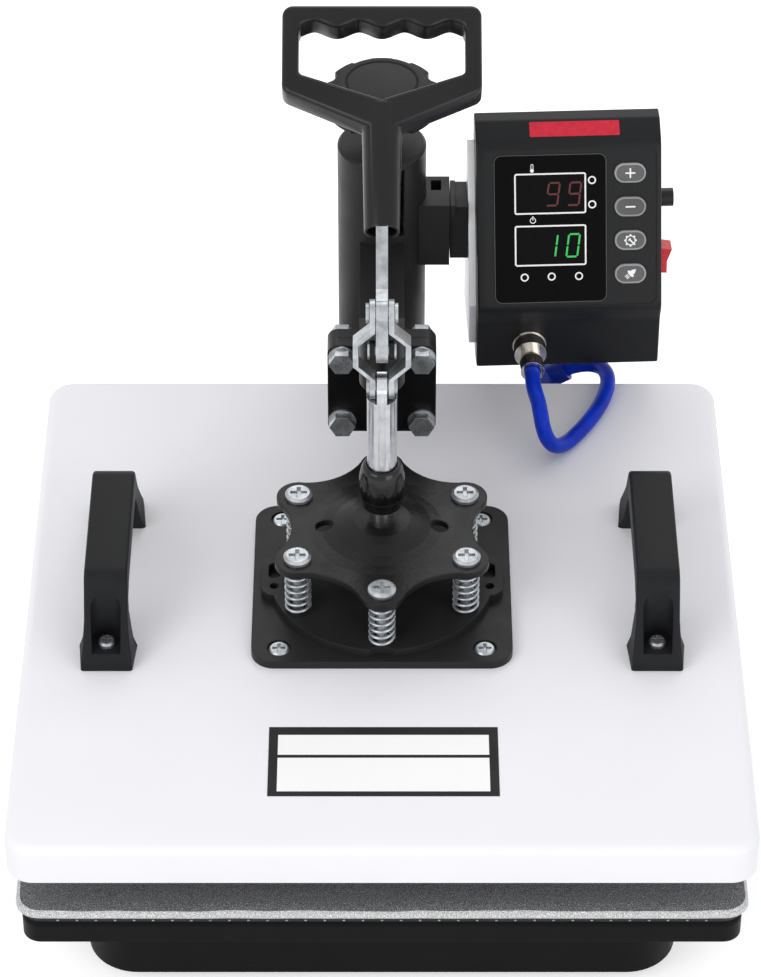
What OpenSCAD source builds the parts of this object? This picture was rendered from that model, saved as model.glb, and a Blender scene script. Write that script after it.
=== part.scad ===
// Swing-away heat press with a flat platen, shown open with the handle raised.
// Millimetres, +Z up. The operator stands at -Y; +X is the operator's right.
// Origin: on the bench, under the middle of the press.

/* [Head] */
// Width of the head cover, left to right
cover_w = 399; // [375:1:435]
// Depth of the head cover, front to back
cover_d = 399; // [375:1:435]
// Height of the head cover
cover_h = 24; // [22:0.5:34]
// Sheet thickness of the head cover
cover_wall = 2.5; // [1.5:0.1:3.5]
// Corner radius of the head cover, seen from above
cover_corner_r = 15; // [10:0.5:24]
// Rounding of the cover's upper edge
cover_edge_r = 5; // [2:0.5:7]
// Thickness of the heated aluminium platen
platen_t = 13; // [9:0.5:15]
// Width of the heater element, which lies in a groove in the platen
heater_w = 8; // [5:0.5:10]
// Depth of the heater groove
heater_t = 5; // [3:0.5:6]
// Thickness of the insulation board over the platen
insulation_t = 6; // [3:0.5:8]

/* [Press stack] */
// Width of the plate on the cover
mount_plate_w = 145; // [140:1:155]
// Depth of the plate on the cover
mount_plate_d = 134; // [131:1:144]
// Thickness of the plate on the cover
mount_plate_t = 5; // [4:0.5:8]
// Spacing of the plate's screws, left to right
mount_screw_x = 114; // [108:1:120]
// Spacing of the plate's screws, front to back
mount_screw_y = 110.5; // [106:0.5:114]
// Radius of the round spring seat
seat_r = 63; // [62:0.5:65]
// Thickness of the spring seat
seat_t = 5; // [4:0.5:8]
// Radius of the circle on which the six springs stand
spring_circle_r = 54; // [52:0.5:55]
// Length of a spring at rest
spring_len = 31.5; // [29:0.5:36]
// Mean radius of a spring's coil
spring_r = 6.6; // [5.5:0.1:7.5]
// Thickness of the spring wire
wire_d = 2; // [1.5:0.1:2.4]
// Turns of a spring
spring_turns = 6; // [4:1:7]
// Thickness of the six-lobed pressure plate
star_t = 4; // [3:0.5:6]
// Radius of a lobe of the pressure plate
lobe_r = 12.5; // [10:0.5:14]
// Least radius of the pressure plate, in the hollows between its lobes
scallop_reach = 50.5; // [48:0.5:53]
// Height of the dome in the middle of the pressure plate
dome_h = 8; // [5:0.5:10]
// Diameter of the spring screws
spring_screw_d = 6; // [5:0.5:8]

/* [Plunger and toggle] */
// Diameter of the plunger rod
plunger_d = 16.5; // [14:0.5:18]
// Diameter of the plunger's lower end, where it passes through the pressure plate
collar_d = 12; // [10:0.5:14]
// Thickness of the plunger's milled tongue
tongue_t = 5.5; // [4:0.5:6]
// Height of the lever's fulcrum above the head cover
fulcrum_h = 170.5; // [166:0.5:176]
// Distance from the fulcrum down to the plunger's pin
pin_drop = 24; // [23:0.5:26]
// Distance from the fulcrum to the links' upper pin
crank_r = 20; // [19:0.5:21]
// Angle of the upper pin behind the vertical through the fulcrum
crank_angle = 30; // [26:1:34]
// Diameter of the fulcrum pin and of the rivets
pin_d = 7; // [6:0.5:7.5]
// Thickness of the two bent links
link_t = 3; // [2.5:0.1:3.4]
// Width of the links, front to back
link_w = 15; // [13:0.5:16]
// Clear width between the links where they bow outwards
link_bow = 25.4; // [25:0.2:29]
// Height of the barrel that guides the plunger
barrel_h = 23.5; // [22:0.5:30]
// Outer radius of the barrel at its fullest
barrel_r = 12.5; // [12.5:0.5:15]
// Wall of the bush that lines the barrel
bush_wall = 1.7; // [1.2:0.1:2]

/* [Lever] */
// Angle by which the raised lever leans back from the vertical
lever_lean = 58; // [52:1:62]
// Thickness of the lever bar
lever_t = 6.5; // [5:0.5:7]
// Width of the lever bar
lever_w = 18; // [14:1:18]
// Distance from the fulcrum to the start of the grip's socket
socket_start = 68; // [60:1:76]
// Distance from the fulcrum to the start of the D-shaped grip
grip_start = 132; // [120:1:140]
// Distance from the fulcrum to the far edge of the grip
grip_end = 201; // [192:1:210]
// Width of the grip
grip_w = 110; // [100:1:120]
// Thickness of the grip
grip_t = 20; // [16:1:24]
// Diameter of the grip's socket
socket_d = 21; // [21:0.5:24]

/* [Column] */
// Gap between the back of the head cover and the turning sleeve
column_gap = 7; // [5:0.5:14]
// Outer diameter of the turning sleeve
sleeve_d = 52; // [50:1:56]
// Wall of the sleeve
sleeve_wall = 3.5; // [2.5:0.1:4.5]
// Length of the sleeve
sleeve_len = 181; // [170:1:190]
// Height of the sleeve's top above the head cover
sleeve_top_h = 147; // [144:1:152]
// Diameter of the fixed post
post_d = 40; // [38:0.5:41]
// Wall of the fixed post
post_wall = 6; // [4:0.5:8]
// Diameter of the pressure screw
screw_d = 16; // [12:0.5:18]
// Thickness of the lid on the sleeve
lid_t = 4; // [3:0.5:6]
// Diameter of the pressure knob across its lobes
knob_d = 65; // [58:1:72]
// Height of the pressure knob without its cap
knob_h = 14; // [12:0.5:18]
// Travel of the pressure adjustment
lift_travel = 8; // [6:0.5:10]

/* [Arm and flange] */
// Side of the square flange plates
flange_w = 62; // [60:1:66]
// Thickness of each flange plate
flange_t = 8; // [6:0.5:10]
// Height of the flange's centre above the head cover
flange_h = 70; // [66:1:72]
// Distance from the plunger back to the joint between the flange plates
flange_back = 101.5; // [98:0.5:106]
// Spacing of the flange bolts
bolt_spacing = 45.5; // [44:0.5:47]
// Diameter of the flange bolts
bolt_d = 8; // [7:0.5:9]
// Width of the hollow arm
arm_w = 26; // [22:1:27]
// Height of the hollow arm
arm_h = 50; // [44:1:54]
// Wall of the hollow arm
arm_wall = 4; // [3:0.5:5]
// Thickness of the toggle bracket's web
web_t = 12; // [10:0.5:12]
// Width of the bracket's rounded nose
nose_w = 25; // [22:0.5:25]
// Thickness of each fulcrum ear
ear_t = 2.8; // [2:0.1:3]

/* [Base] */
// Width of the base frame
base_w = 324; // [306:1:346]
// Height of the base frame's tube
base_h = 25; // [20:0.5:30]
// Width of the base frame's tube
rail_w = 30; // [26:1:36]
// Wall of the base frame's tube
rail_wall = 2.5; // [2:0.1:3]
// Outer radius of the base frame's corners
base_corner_r = 28; // [20:1:34]
// How far the base frame stands back from the front of the head
base_setback = 27; // [20:1:34]
// Height of the rubber feet
foot_h = 9; // [6:0.5:12]
// Diameter of the rubber feet
foot_d = 28; // [22:1:30]
// Depth of the rear beam
beam_d = 86; // [80:1:100]
// Thickness of the rear beam's top plate
beam_t = 8; // [6:0.5:10]
// Diameter of the post's foot flange
post_foot_d = 78; // [76:1:82]
// Thickness of the post's foot flange
post_foot_t = 10; // [8:0.5:14]
// Distance from the column's axis to the rear edge
rear_reach = 43; // [43:1:50]

/* [Lower platen] */
// Side of the lower platen
tray_w = 387; // [370:1:400]
// Height of the lower platen's skirt
tray_h = 15; // [12:0.5:20]
// Sheet thickness of the lower platen
tray_t = 3; // [2:0.5:5]
// Height of the two bars that carry the lower platen
bar_h = 33; // [28:1:40]
// Width of the bars
bar_w = 30; // [24:1:36]
// Side of the pressing pad
pad_w = 393; // [375:1:403]
// Thickness of the pressing pad
pad_t = 11; // [8:0.5:16]
// Open gap between the pad and the heated platen
press_gap = 25; // [20:0.5:32]

/* [Carry handles] */
// Distance of each handle from the middle of the head
handle_x = 152; // [146:1:160]
// Length of a handle
handle_len = 144; // [136:1:152]
// Length of a handle's level top
handle_top_len = 98; // [92:1:106]
// Height of a handle
handle_h = 48; // [43:1:53]
// Width of a handle's feet
handle_foot_w = 30; // [26:1:34]
// Width of a handle's bar
handle_bar_w = 24; // [20:1:26]
// Diameter of the handle screws
handle_screw_d = 5; // [4:0.5:6]

/* [Control box] */
// Width of the control box
box_w = 108.5; // [105:0.5:115]
// Wall of the control box
box_wall = 2.5; // [2:0.1:3]
// Angle by which the control panel leans back
box_lean = 25; // [22:1:28]
// Angle by which the box is turned towards the operator's right
box_yaw = 2.5; // [0:0.5:3]
// Height of the upright strip that carries the cable socket
strip_h = 33; // [30:1:36]
// Length of the leaning control panel
panel_len = 99; // [97:1:104]
// Depth of the control box at its bottom
box_d = 65; // [62:1:72]
// Height of the box's bottom above the head cover
box_h = 19.5; // [18:0.5:22]
// Width of a push button
button_w = 18.6; // [14:0.2:19]
// Height of a push button
button_h = 11.6; // [8:0.2:12]
// Travel of a push button
button_travel = 1; // [0.5:0.1:1.2]
// Diameter of the panel socket
socket_body_d = 16; // [14:0.5:18]

/* [Clearances] */
// Radial clearance of shafts in their bores
run_fit = 0.05; // [0.02:0.01:0.1]
// Clearance around sliding and rocking parts
slide_gap = 0.3; // [0.2:0.05:0.4]

/* [Hidden] */

$fn = 64;
soft_fn = 28;
eps = 0.01;

// Distance of the plunger's axis behind the middle of the head cover
plunger_back = 9;
reach = cover_d / 2 - plunger_back + column_gap + sleeve_d / 2;
overall_d = cover_d / 2 + plunger_back + reach + rear_reach;
front_y = -overall_d / 2;
cover_y = front_y + cover_d / 2;
plunger_y = cover_y + plunger_back;
column_y = plunger_y + reach;
rear_y = column_y + rear_reach;
base_front_y = front_y + base_setback;
beam_front_y = rear_y - beam_d;

// Levels, from the bench upwards
rail_top = foot_h + base_h;
bar_top = rail_top + bar_h;
tray_top = bar_top + tray_t;
tray_z = tray_top - tray_h;
pad_top = tray_top + pad_t;
head_z = pad_top + press_gap;
cover_top = head_z + cover_h;
cover_under = cover_top - cover_wall;
platen_top = head_z + platen_t;
plate_top = cover_top + mount_plate_t;
seat_top = plate_top + seat_t;
star_z = seat_top + spring_len;
star_top = star_z + star_t;
collar_gap = 18;
barrel_z = star_top + collar_gap;
barrel_top = barrel_z + barrel_h;
fulcrum_z = cover_top + fulcrum_h;
pin_z = fulcrum_z - pin_drop;
flange_z = cover_top + flange_h;
sleeve_top = cover_top + sleeve_top_h;
sleeve_z = sleeve_top - sleeve_len;
lid_top = sleeve_top + lid_t;
sleeve_in_d = sleeve_d - 2 * sleeve_wall;

// The links run from the upper pin to the plunger's pin
upper_pin_y = crank_r * sin(crank_angle);
upper_pin_z = crank_r * cos(crank_angle);
link_drop = upper_pin_z + pin_drop;
link_len = norm([upper_pin_y, link_drop]);
link_tilt = atan2(upper_pin_y, link_drop);
link_in = lever_t / 2 + 0.4;

// Screws and bolts
spring_angles = [for (i = [0:5]) 30 + 60 * i];
mount_spots = [for (sx = [-1, 1], sy = [-1, 1]) [sx * mount_screw_x / 2, sy * mount_screw_y / 2]];
flange_spots = [for (sx = [-1, 1], sz = [-1, 1]) [sx * bolt_spacing / 2, sz * bolt_spacing / 2]];
mount_screw_d = 6;
mount_head_d = 12;
mount_head_t = 3;

// Outline of the base
rail_inner_w = base_w - 2 * rail_w;

// Places on the carry handles: the two feet of a handle, front and back
handle_back = 3;
handle_y = plunger_y + handle_back;
foot_len = 22.5;
foot_step = handle_len / 2 - foot_len / 2;
handle_screw_step = foot_step - 1;
handle_recess_w = 16.5;
handle_floor = 9.5;

// The control box stands beside the column; its own frame starts at its lower left front corner
box_x = 56.5;
box_y = column_y - 45;
box_z = cover_top + box_h;
lip_y = -4;
lip_rise = 11;
lip_z = strip_h + lip_rise;
panel_top_y = lip_y + panel_len * sin(box_lean);
panel_top_z = lip_z + panel_len * cos(box_lean);
brow_len = 16;
brow_lean = 60;
brow_y = panel_top_y + brow_len * sin(brow_lean);
brow_z = panel_top_z + brow_len * cos(brow_lean);
shell_t = 18;
split_y = lip_y + shell_t * cos(box_lean);
split_z = lip_z - shell_t * sin(box_lean);
split_top_y = panel_top_y + shell_t * cos(box_lean);
split_top_z = panel_top_z - shell_t * sin(box_lean);
back_drop = 6;
cheek_t = 4;
cheek_in = 9;
board_depth = 10;
board_t = 1.6;
overlay_t = 0.8;
overlay_w = 66.2;
overlay_h = 88.4;
overlay_r = 4.5;
overlay_u = 10;
overlay_v = 4.6;
window_w = 40.4;
window_h = 22.6;
window_u = 22.9;
window_vs = [27.6, 58.5];
button_u = 90;
button_vs = [81, 61, 41, 21];
button_proud = 1.5;
button_foot = 7;
switch_y = 34;
switch_z = 54;
switch_w = 15;
switch_h = 25;
fuse_y = 46;
fuse_z = 88;
fuse_d = 11;
fuse_proud = 9.5;
fuse_deep = 26;
inlet_u = 62;
inlet_z = 30;
socket_u = 31;
socket_z = 17.5;
plug_len = 28.5;

// The head cable: hand-chosen points from the plug to the gland on the cover's back
cable_d = 9.2;
cable_sides = 10;
cable_points = [
    [88.5, 126, 167], [88.5, 119, 167], [88.8, 111, 167], [89.7, 103.5, 166.8], [91.3, 96, 165.6],
    [92.5, 89.4, 162.4], [93.8, 84.8, 156.8], [96, 83, 150], [99.5, 84.4, 143.2],
    [104, 89.2, 138], [109.5, 96.4, 135.2], [115.5, 105, 134.8], [121.5, 114.5, 134.8],
    [127, 125, 134.8], [131.5, 136, 134.8], [134.7, 147.5, 135], [135.5, 158.5, 135.2],
    [132.6, 168.5, 134], [125.4, 176.4, 130.6], [115.8, 180.2, 126], [107, 180.5, 121]
];
gland_reach = 19;
gland_at = [99, cover_y + cover_d / 2 + gland_reach, head_z + 10.5];
gland_rise = 30;

// Shared shapes

module rounded_plan(w, d, r) {
    square([w - 2 * r, d], center = true);
    square([w, d - 2 * r], center = true);
    for (sx = [-1, 1], sy = [-1, 1])
        translate([sx * (w / 2 - r), sy * (d / 2 - r)]) circle(r);
}

module slab(w, d, h, r) {
    linear_extrude(h) rounded_plan(w, d, r);
}

// Slab whose upper edge is rounded by e
module soft_slab(w, d, h, r, e) {
    hull()
        for (sx = [-1, 1], sy = [-1, 1])
            translate([sx * (w / 2 - r), sy * (d / 2 - r), 0]) {
                cylinder(h = h - e, r = r, $fn = soft_fn);
                translate([0, 0, h - e])
                    rotate_extrude($fn = soft_fn) translate([r - e, 0]) circle(e, $fn = soft_fn);
            }
}

// Hexagon head across flats w, height h
module hex_head(w, h) {
    cylinder(h = h, d = w / cos(30), $fn = 6);
}

// Round pan head with a cross recess on top
module cross_head(d, h) {
    slot_w = d / 7;
    slot_l = d * 0.6;
    difference() {
        union() {
            cylinder(h = h * 0.6, d = d);
            translate([0, 0, h * 0.6]) cylinder(h = h * 0.4, d1 = d, d2 = d * 0.8);
        }
        for (turn = [0, 90])
            rotate(turn) translate([-slot_l / 2, -slot_w / 2, h * 0.45]) cube([slot_l, slot_w, h]);
    }
}

// Tube along points: a ring of so many sides stands square to the path at each point
function unit(v) = v / norm(v);
function path_dir(p, i) = unit(p[min(i + 1, len(p) - 1)] - p[max(i - 1, 0)]);
function ring(p, i, r, sides, side_dir) =
    let (
        t = path_dir(p, i),
        a = unit(side_dir - (side_dir * t) * t),
        b = cross(t, a)
    )
    [for (k = [0:sides - 1]) p[i] + r * (cos(360 * k / sides) * a + sin(360 * k / sides) * b)];

module tube(p, r, sides, side_dirs) {
    n = len(p);
    points = [for (i = [0:n - 1]) each ring(p, i, r, sides, side_dirs[i])];
    walls = [
        for (i = [0:n - 2], k = [0:sides - 1])
            let (a = i * sides + k, b = i * sides + (k + 1) % sides)
            each [[a, b + sides, b], [a, a + sides, b + sides]]
    ];
    first_cap = [for (k = [1:sides - 2]) [0, k, k + 1]];
    last = (n - 1) * sides;
    last_cap = [for (k = [1:sides - 2]) [last, last + k + 1, last + k]];
    polyhedron(points = points, faces = concat(walls, first_cap, last_cap), convexity = 8);
}

// Loft through closed rings of equal count, from the bottom ring to the top ring
module loft(rings) {
    n = len(rings[0]);
    m = len(rings);
    points = [for (r = rings) each r];
    walls = [
        for (i = [0:m - 2], k = [0:n - 1])
            let (a = i * n + k, b = i * n + (k + 1) % n)
            each [[a, b + n, b], [a, a + n, b + n]]
    ];
    floor_cap = [for (k = [1:n - 2]) [0, k, k + 1]];
    last = (m - 1) * n;
    roof_cap = [for (k = [1:n - 2]) [last, last + k + 1, last + k]];
    polyhedron(points = points, faces = concat(walls, floor_cap, roof_cap), convexity = 4);
}

function rounded_ring(w, d, r, z, steps) = [
    for (q = [0:3], s = [0:steps])
        let (
            a = 90 * q + 90 * s / steps,
            cx = (q == 0 || q == 3 ? 1 : -1) * (w / 2 - r),
            cy = (q < 2 ? 1 : -1) * (d / 2 - r)
        )
        [cx + r * cos(a), cy + r * sin(a), z]
];

// Places

module at_head() { translate([0, cover_y, 0]) children(); }
module at_plunger() { translate([0, plunger_y, 0]) children(); }
module at_column() { translate([0, column_y, 0]) children(); }
module at_springs() {
    at_plunger()
        for (a = spring_angles)
            rotate(a) translate([spring_circle_r, 0, 0]) rotate(-a) children();
}
module at_box() { translate([box_x, box_y, box_z]) rotate(box_yaw) children(); }

// On the leaning panel: x to the right, y up the panel, z outwards
module at_panel(u, v) {
    at_box() translate([0, lip_y, lip_z]) rotate([90 - box_lean, 0, 0]) translate([u, v, 0]) children();
}

// In the middle of the panel's overlay, on the floor of its recess
module at_overlay() {
    at_panel(overlay_u + overlay_w / 2, overlay_v + overlay_h / 2) translate([0, 0, -overlay_t]) children();
}

// On the box's right-hand side: x along the depth, y upwards, z outwards
module at_side(y, z) {
    at_box() translate([box_w, y, z]) rotate([90, 0, 90]) children();
}

// In the plane of the lever: y backwards, z along the lever from the fulcrum
module at_lever() {
    at_plunger() translate([0, 0, fulcrum_z]) rotate([-lever_lean, 0, 0]) children();
}

// In the plane of the links: z upwards along the link from the upper pin
module at_links() {
    at_plunger() translate([0, upper_pin_y, fulcrum_z + upper_pin_z])
        rotate([-link_tilt, 0, 0]) children();
}

// Solid from an outline of (y, z) points, spread symmetrically over x
module side_plate(t) {
    rotate([90, 0, 90]) linear_extrude(t, center = true) children();
}

// Base

module rail_outline(inset) {
    w = base_w - 2 * inset;
    r = base_corner_r - inset;
    inner_r = base_corner_r - rail_w + inset;
    front = base_front_y + inset;
    difference() {
        union() {
            translate([-w / 2 + r, front]) square([w - 2 * r, beam_front_y - front]);
            translate([-w / 2, front + r]) square([w, beam_front_y - front - r]);
            for (s = [-1, 1]) translate([s * (w / 2 - r), front + r]) circle(r);
        }
        translate([-rail_inner_w / 2 - inset, base_front_y + rail_w - inset])
            square([rail_inner_w + 2 * inset, overall_d]);
    }
}

module base_frame() {
    color("dimgray") difference() {
        translate([0, 0, foot_h]) linear_extrude(base_h) rail_outline(0);
        translate([0, 0, foot_h + rail_wall])
            linear_extrude(base_h - 2 * rail_wall) rail_outline(rail_wall);
    }
}

post_bolt_d = 8;
post_bolt_spots = [for (a = [45, 135, 225, 315]) (post_foot_d / 2 - 9.5) * [cos(a), sin(a)]];

module rear_beam() {
    beam_y = rear_y - beam_d / 2;
    color("dimgray") difference() {
        translate([0, beam_y, foot_h]) slab(base_w, beam_d, base_h, 6);
        translate([0, beam_y, foot_h - eps])
            slab(base_w - 2 * rail_wall, beam_d - 2 * rail_wall, base_h - beam_t + eps, 4);
        at_column() for (s = post_bolt_spots)
            translate([s[0], s[1], 0]) cylinder(h = rail_top + 1, d = post_bolt_d);
    }
}

module rubber_feet() {
    foot_x = base_w / 2 - rail_w / 2;
    grip = base_h - beam_t;
    color("black") for (s = [-1, 1]) {
        translate([s * foot_x, base_front_y + base_corner_r + rail_w, 0]) cylinder(h = foot_h, d = foot_d);
        translate([s * (foot_x - rail_wall), rear_y - foot_d / 2 - rail_wall - 1, 0]) {
            cylinder(h = foot_h, d = foot_d);
            translate([0, 0, foot_h - eps]) cylinder(h = grip + eps, d = foot_d - 8);
        }
    }
}

module post_foot() {
    color("dimgray") at_column() difference() {
        translate([0, 0, rail_top]) cylinder(h = post_foot_t, d = post_foot_d);
        cylinder(h = 2 * rail_top, d = post_d + 2 * run_fit);
        for (s = post_bolt_spots)
            translate([s[0], s[1], 0]) cylinder(h = 2 * rail_top, d = post_bolt_d + 2 * run_fit);
    }
}

module post_bolts() {
    color("silver") at_column() for (s = post_bolt_spots) translate([s[0], s[1], 0]) {
        translate([0, 0, rail_top - beam_t]) cylinder(h = beam_t + post_foot_t, d = post_bolt_d);
        translate([0, 0, rail_top + post_foot_t]) hex_head(13, 5.5);
    }
}

// Fixed post: its top carries the thrust cup, which turns in the post's bore
post_drop = 45;
post_top = sleeve_top - post_drop;
cup_stub = 10;
cup_stub_d = 20;

module column_post() {
    color("silver") at_column() difference() {
        translate([0, 0, rail_top]) cylinder(h = post_top - rail_top, d = post_d);
        translate([0, 0, rail_top - eps])
            cylinder(h = post_top - rail_top - 2 * cup_stub, d = post_d - 2 * post_wall);
        translate([0, 0, post_top - cup_stub - slide_gap])
            cylinder(h = cup_stub + 1, d = cup_stub_d + 2 * run_fit);
    }
}

// Lower platen

bar_step = tray_w / 4;
bar_len = base_w - rail_w / 2;
bar_wall = 2.5;
platen_bolt_d = 8;
platen_bolt_len = 12;
platen_bolt_x = rail_inner_w / 2 - 30;
platen_bolt_spots = [for (sx = [-1, 1], sy = [-1, 1]) [sx * platen_bolt_x, sy * bar_step]];
cone_h = 2.5;

module cross_bars() {
    color("dimgray") at_head() for (s = [-1, 1]) difference() {
        translate([-bar_len / 2, s * bar_step - bar_w / 2, rail_top]) cube([bar_len, bar_w, bar_h]);
        translate([-bar_len / 2 + bar_wall, s * bar_step - bar_w / 2 + bar_wall, rail_top + bar_wall])
            cube([bar_len - 2 * bar_wall, bar_w - 2 * bar_wall, bar_h - 2 * bar_wall]);
        for (sx = [-1, 1]) translate([sx * platen_bolt_x, s * bar_step, bar_top - 2 * bar_wall])
            cylinder(h = 3 * bar_wall, d = platen_bolt_d);
    }
}

module platen_bolt_form(extra) {
    translate([0, 0, tray_top - cone_h])
        cylinder(h = cone_h + extra, d1 = platen_bolt_d, d2 = platen_bolt_d + 2 * (cone_h + extra));
    translate([0, 0, bar_top - platen_bolt_len])
        cylinder(h = platen_bolt_len + tray_t - cone_h + eps, d = platen_bolt_d);
}

module platen_bolts() {
    color("silver") at_head() for (s = platen_bolt_spots)
        translate([s[0], s[1], 0]) difference() {
            platen_bolt_form(0);
            translate([0, 0, tray_top - cone_h / 2]) cylinder(h = cone_h, d = 5, $fn = 6);
        }
}

module lower_platen() {
    edge = min(4, tray_h / 2);
    corner = 10;
    color("black") at_head() difference() {
        translate([0, 0, tray_z]) soft_slab(tray_w, tray_w, tray_h, corner, edge);
        translate([0, 0, tray_z - 1])
            slab(tray_w - 2 * tray_t, tray_w - 2 * tray_t, tray_h - tray_t + 1, corner - tray_t);
        for (s = platen_bolt_spots) translate([s[0], s[1], 0]) platen_bolt_form(1);
    }
}

// Pad: flat cloth-covered top with a rolled upper edge and a drawn-in sewn hem below
module press_pad() {
    corner = 12;
    steps = 5;
    profile = [[5, 0.02], [2.4, 0.12], [2, 0.38], [0.9, 0.45], [0, 0.62], [0.7, 0.82],
               [2.6, 0.93], [7, 0.985], [26, 1]];
    rings = [
        for (q = profile)
            rounded_ring(pad_w - 2 * q[0], pad_w - 2 * q[0], corner, tray_top + q[1] * pad_t, steps)
    ];
    color("gray") at_head() loft(rings);
}

// Column: thrust cup, pressure screw and knob

cup_h = 8;
cup_top = post_top + 2 * run_fit + cup_h;

module thrust_cup() {
    color("silver") at_column() {
        translate([0, 0, post_top + 2 * run_fit]) cylinder(h = cup_h, d = post_d - 4);
        translate([0, 0, post_top - cup_stub]) cylinder(h = cup_stub + 1, d = cup_stub_d);
    }
}

nut_d = 24;
nut_h = 9;
knob_gap = 7;
knob_z = lid_top + nut_h + lift_travel + knob_gap;
knob_roof = 3;
knob_top = knob_z + knob_h;
cap_h = 4.5;
knob_lobes = 8;

module pressure_screw() {
    color("silver") at_column() translate([0, 0, cup_top + run_fit])
        cylinder(h = knob_top - knob_roof - cup_top, d = screw_d);
}

module knob_body() {
    edge = 2;
    valley_r = 8;
    valley_t = 3;
    color("black") at_column() translate([0, 0, knob_z]) difference() {
        difference() {
            union() {
                cylinder(h = edge, d1 = knob_d - 2 * edge, d2 = knob_d);
                translate([0, 0, edge]) cylinder(h = knob_h - 2 * edge, d = knob_d);
                translate([0, 0, knob_h - edge]) cylinder(h = edge, d1 = knob_d, d2 = knob_d - 2 * edge);
            }
            for (i = [0:knob_lobes - 1]) rotate(360 * (i + 0.5) / knob_lobes)
                translate([knob_d / 2 + valley_r - valley_t, 0, -1]) cylinder(h = knob_h + 2, r = valley_r);
        }
        translate([0, 0, -1]) cylinder(h = knob_h - knob_roof + 1 + 2 * run_fit, d = screw_d + 2 * run_fit);
    }
}

module knob_cap() {
    rim = 4.5;
    cap_d = knob_d - 15;
    color("black") at_column() translate([0, 0, knob_top]) difference() {
        union() {
            cylinder(h = cap_h - 1.5, d = cap_d);
            translate([0, 0, cap_h - 1.5]) cylinder(h = 1.5, d1 = cap_d, d2 = cap_d - 3);
        }
        translate([0, 0, cap_h - 1]) difference() {
            cylinder(h = 2, d = cap_d - 2 * rim + 1.6);
            translate([0, 0, -1]) cylinder(h = 4, d = cap_d - 2 * rim);
        }
    }
}

// Turning sleeve with its lid, nut and bushes

lid_spigot = 14;
slit_w = 3;
slit_len = 47;
slit_turn = 27;

module column_sleeve() {
    color("black") at_column() difference() {
        translate([0, 0, sleeve_z]) cylinder(h = sleeve_len, d = sleeve_d);
        translate([0, 0, sleeve_z - 1]) cylinder(h = sleeve_len + 2, d = sleeve_in_d);
        rotate(slit_turn) translate([-slit_w / 2, -sleeve_d, sleeve_top - slit_len])
            cube([slit_w, sleeve_d, slit_len + 1]);
    }
}

module sleeve_lid() {
    edge = 1.5;
    color("black") at_column() difference() {
        union() {
            translate([0, 0, sleeve_top]) cylinder(h = lid_t - edge, d = sleeve_d);
            translate([0, 0, lid_top - edge]) cylinder(h = edge, d1 = sleeve_d, d2 = sleeve_d - 2 * edge);
            translate([0, 0, sleeve_top - lid_spigot])
                cylinder(h = lid_spigot + 1, d = sleeve_in_d - 2 * run_fit);
        }
        translate([0, 0, sleeve_top - lid_spigot - 1])
            cylinder(h = lid_spigot + lid_t + 2, d = screw_d + 2 * run_fit);
    }
}

module screw_nut() {
    edge = 1.5;
    color("silver") at_column() translate([0, 0, lid_top]) difference() {
        union() {
            cylinder(h = nut_h - edge, d = nut_d);
            translate([0, 0, nut_h - edge]) cylinder(h = edge, d1 = nut_d, d2 = nut_d - 2 * edge);
        }
        translate([0, 0, -1]) cylinder(h = nut_h + 2, d = screw_d + 2 * run_fit);
    }
}

module sleeve_bushes() {
    bush_len = 28;
    color("tan") at_column()
        for (z = [sleeve_z + 2, post_top - bush_len - lift_travel - 4])
            translate([0, 0, z]) difference() {
                cylinder(h = bush_len, d = sleeve_in_d - 2 * run_fit);
                translate([0, 0, -1]) cylinder(h = bush_len + 2, d = post_d + 2 * run_fit);
            }
}

// Arm, flange and toggle bracket

flange_r = 6;

module flange_plate() {
    rotate([90, 0, 0]) difference() {
        slab(flange_w, flange_w, flange_t, flange_r);
        for (s = flange_spots)
            translate([s[0], s[1], -1]) cylinder(h = flange_t + 2, d = bolt_d + 2 * run_fit);
    }
}

module swing_arm() {
    arm_len = reach - flange_back - flange_t;
    color("black") at_plunger() translate([0, flange_back, flange_z]) {
        translate([0, flange_t, 0]) flange_plate();
        difference() {
            translate([-arm_w / 2, flange_t - eps, -arm_h / 2]) cube([arm_w, arm_len, arm_h]);
            translate([-arm_w / 2 + arm_wall, flange_t + arm_wall, -arm_h / 2 + arm_wall])
                cube([arm_w - 2 * arm_wall, arm_len, arm_h - 2 * arm_wall]);
            translate([0, reach - flange_back, -arm_h]) cylinder(h = 2 * arm_h, d = sleeve_d + 2 * run_fit);
        }
    }
}

bush_d = plunger_d + 2 * run_fit + 2 * bush_wall;
nose_y = 17.5;
nose_h = 32;
nose_top = fulcrum_z - 12;
ear_in = lever_t / 2 + 0.55;
ear_r = pin_d / 2 + 2.2;
stem_drop = fulcrum_z - nose_top;

module bracket_web() {
    foot = flange_z - flange_w / 2;
    head = flange_z + flange_w / 2;
    front = flange_back - flange_t;
    throat = nose_y + 12;
    side_plate(web_t) polygon([
        [bush_d / 2 + 1, barrel_z + 4], [spring_circle_r + lobe_r + 6, barrel_z], [front - 8, foot + 3],
        [front + eps, foot + 3],
        [front + eps, head - 3], [throat + 24, nose_top], [throat, nose_top],
        [throat, nose_top - nose_h], [throat + 20, barrel_top + 6], [throat + 8, barrel_top - 2],
        [bush_d / 2 + 1, barrel_top - 2]
    ]);
}

module fulcrum_ear() {
    circle(ear_r);
    polygon([
        [-ear_r * 0.7, -ear_r * 0.7], [1, -ear_r - 0.2], [nose_y + 2, -stem_drop - 6],
        [nose_y + 18, -stem_drop - 6], [nose_y + 18, -stem_drop + 3], [ear_r * 0.7, ear_r * 0.72]
    ]);
}

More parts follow.
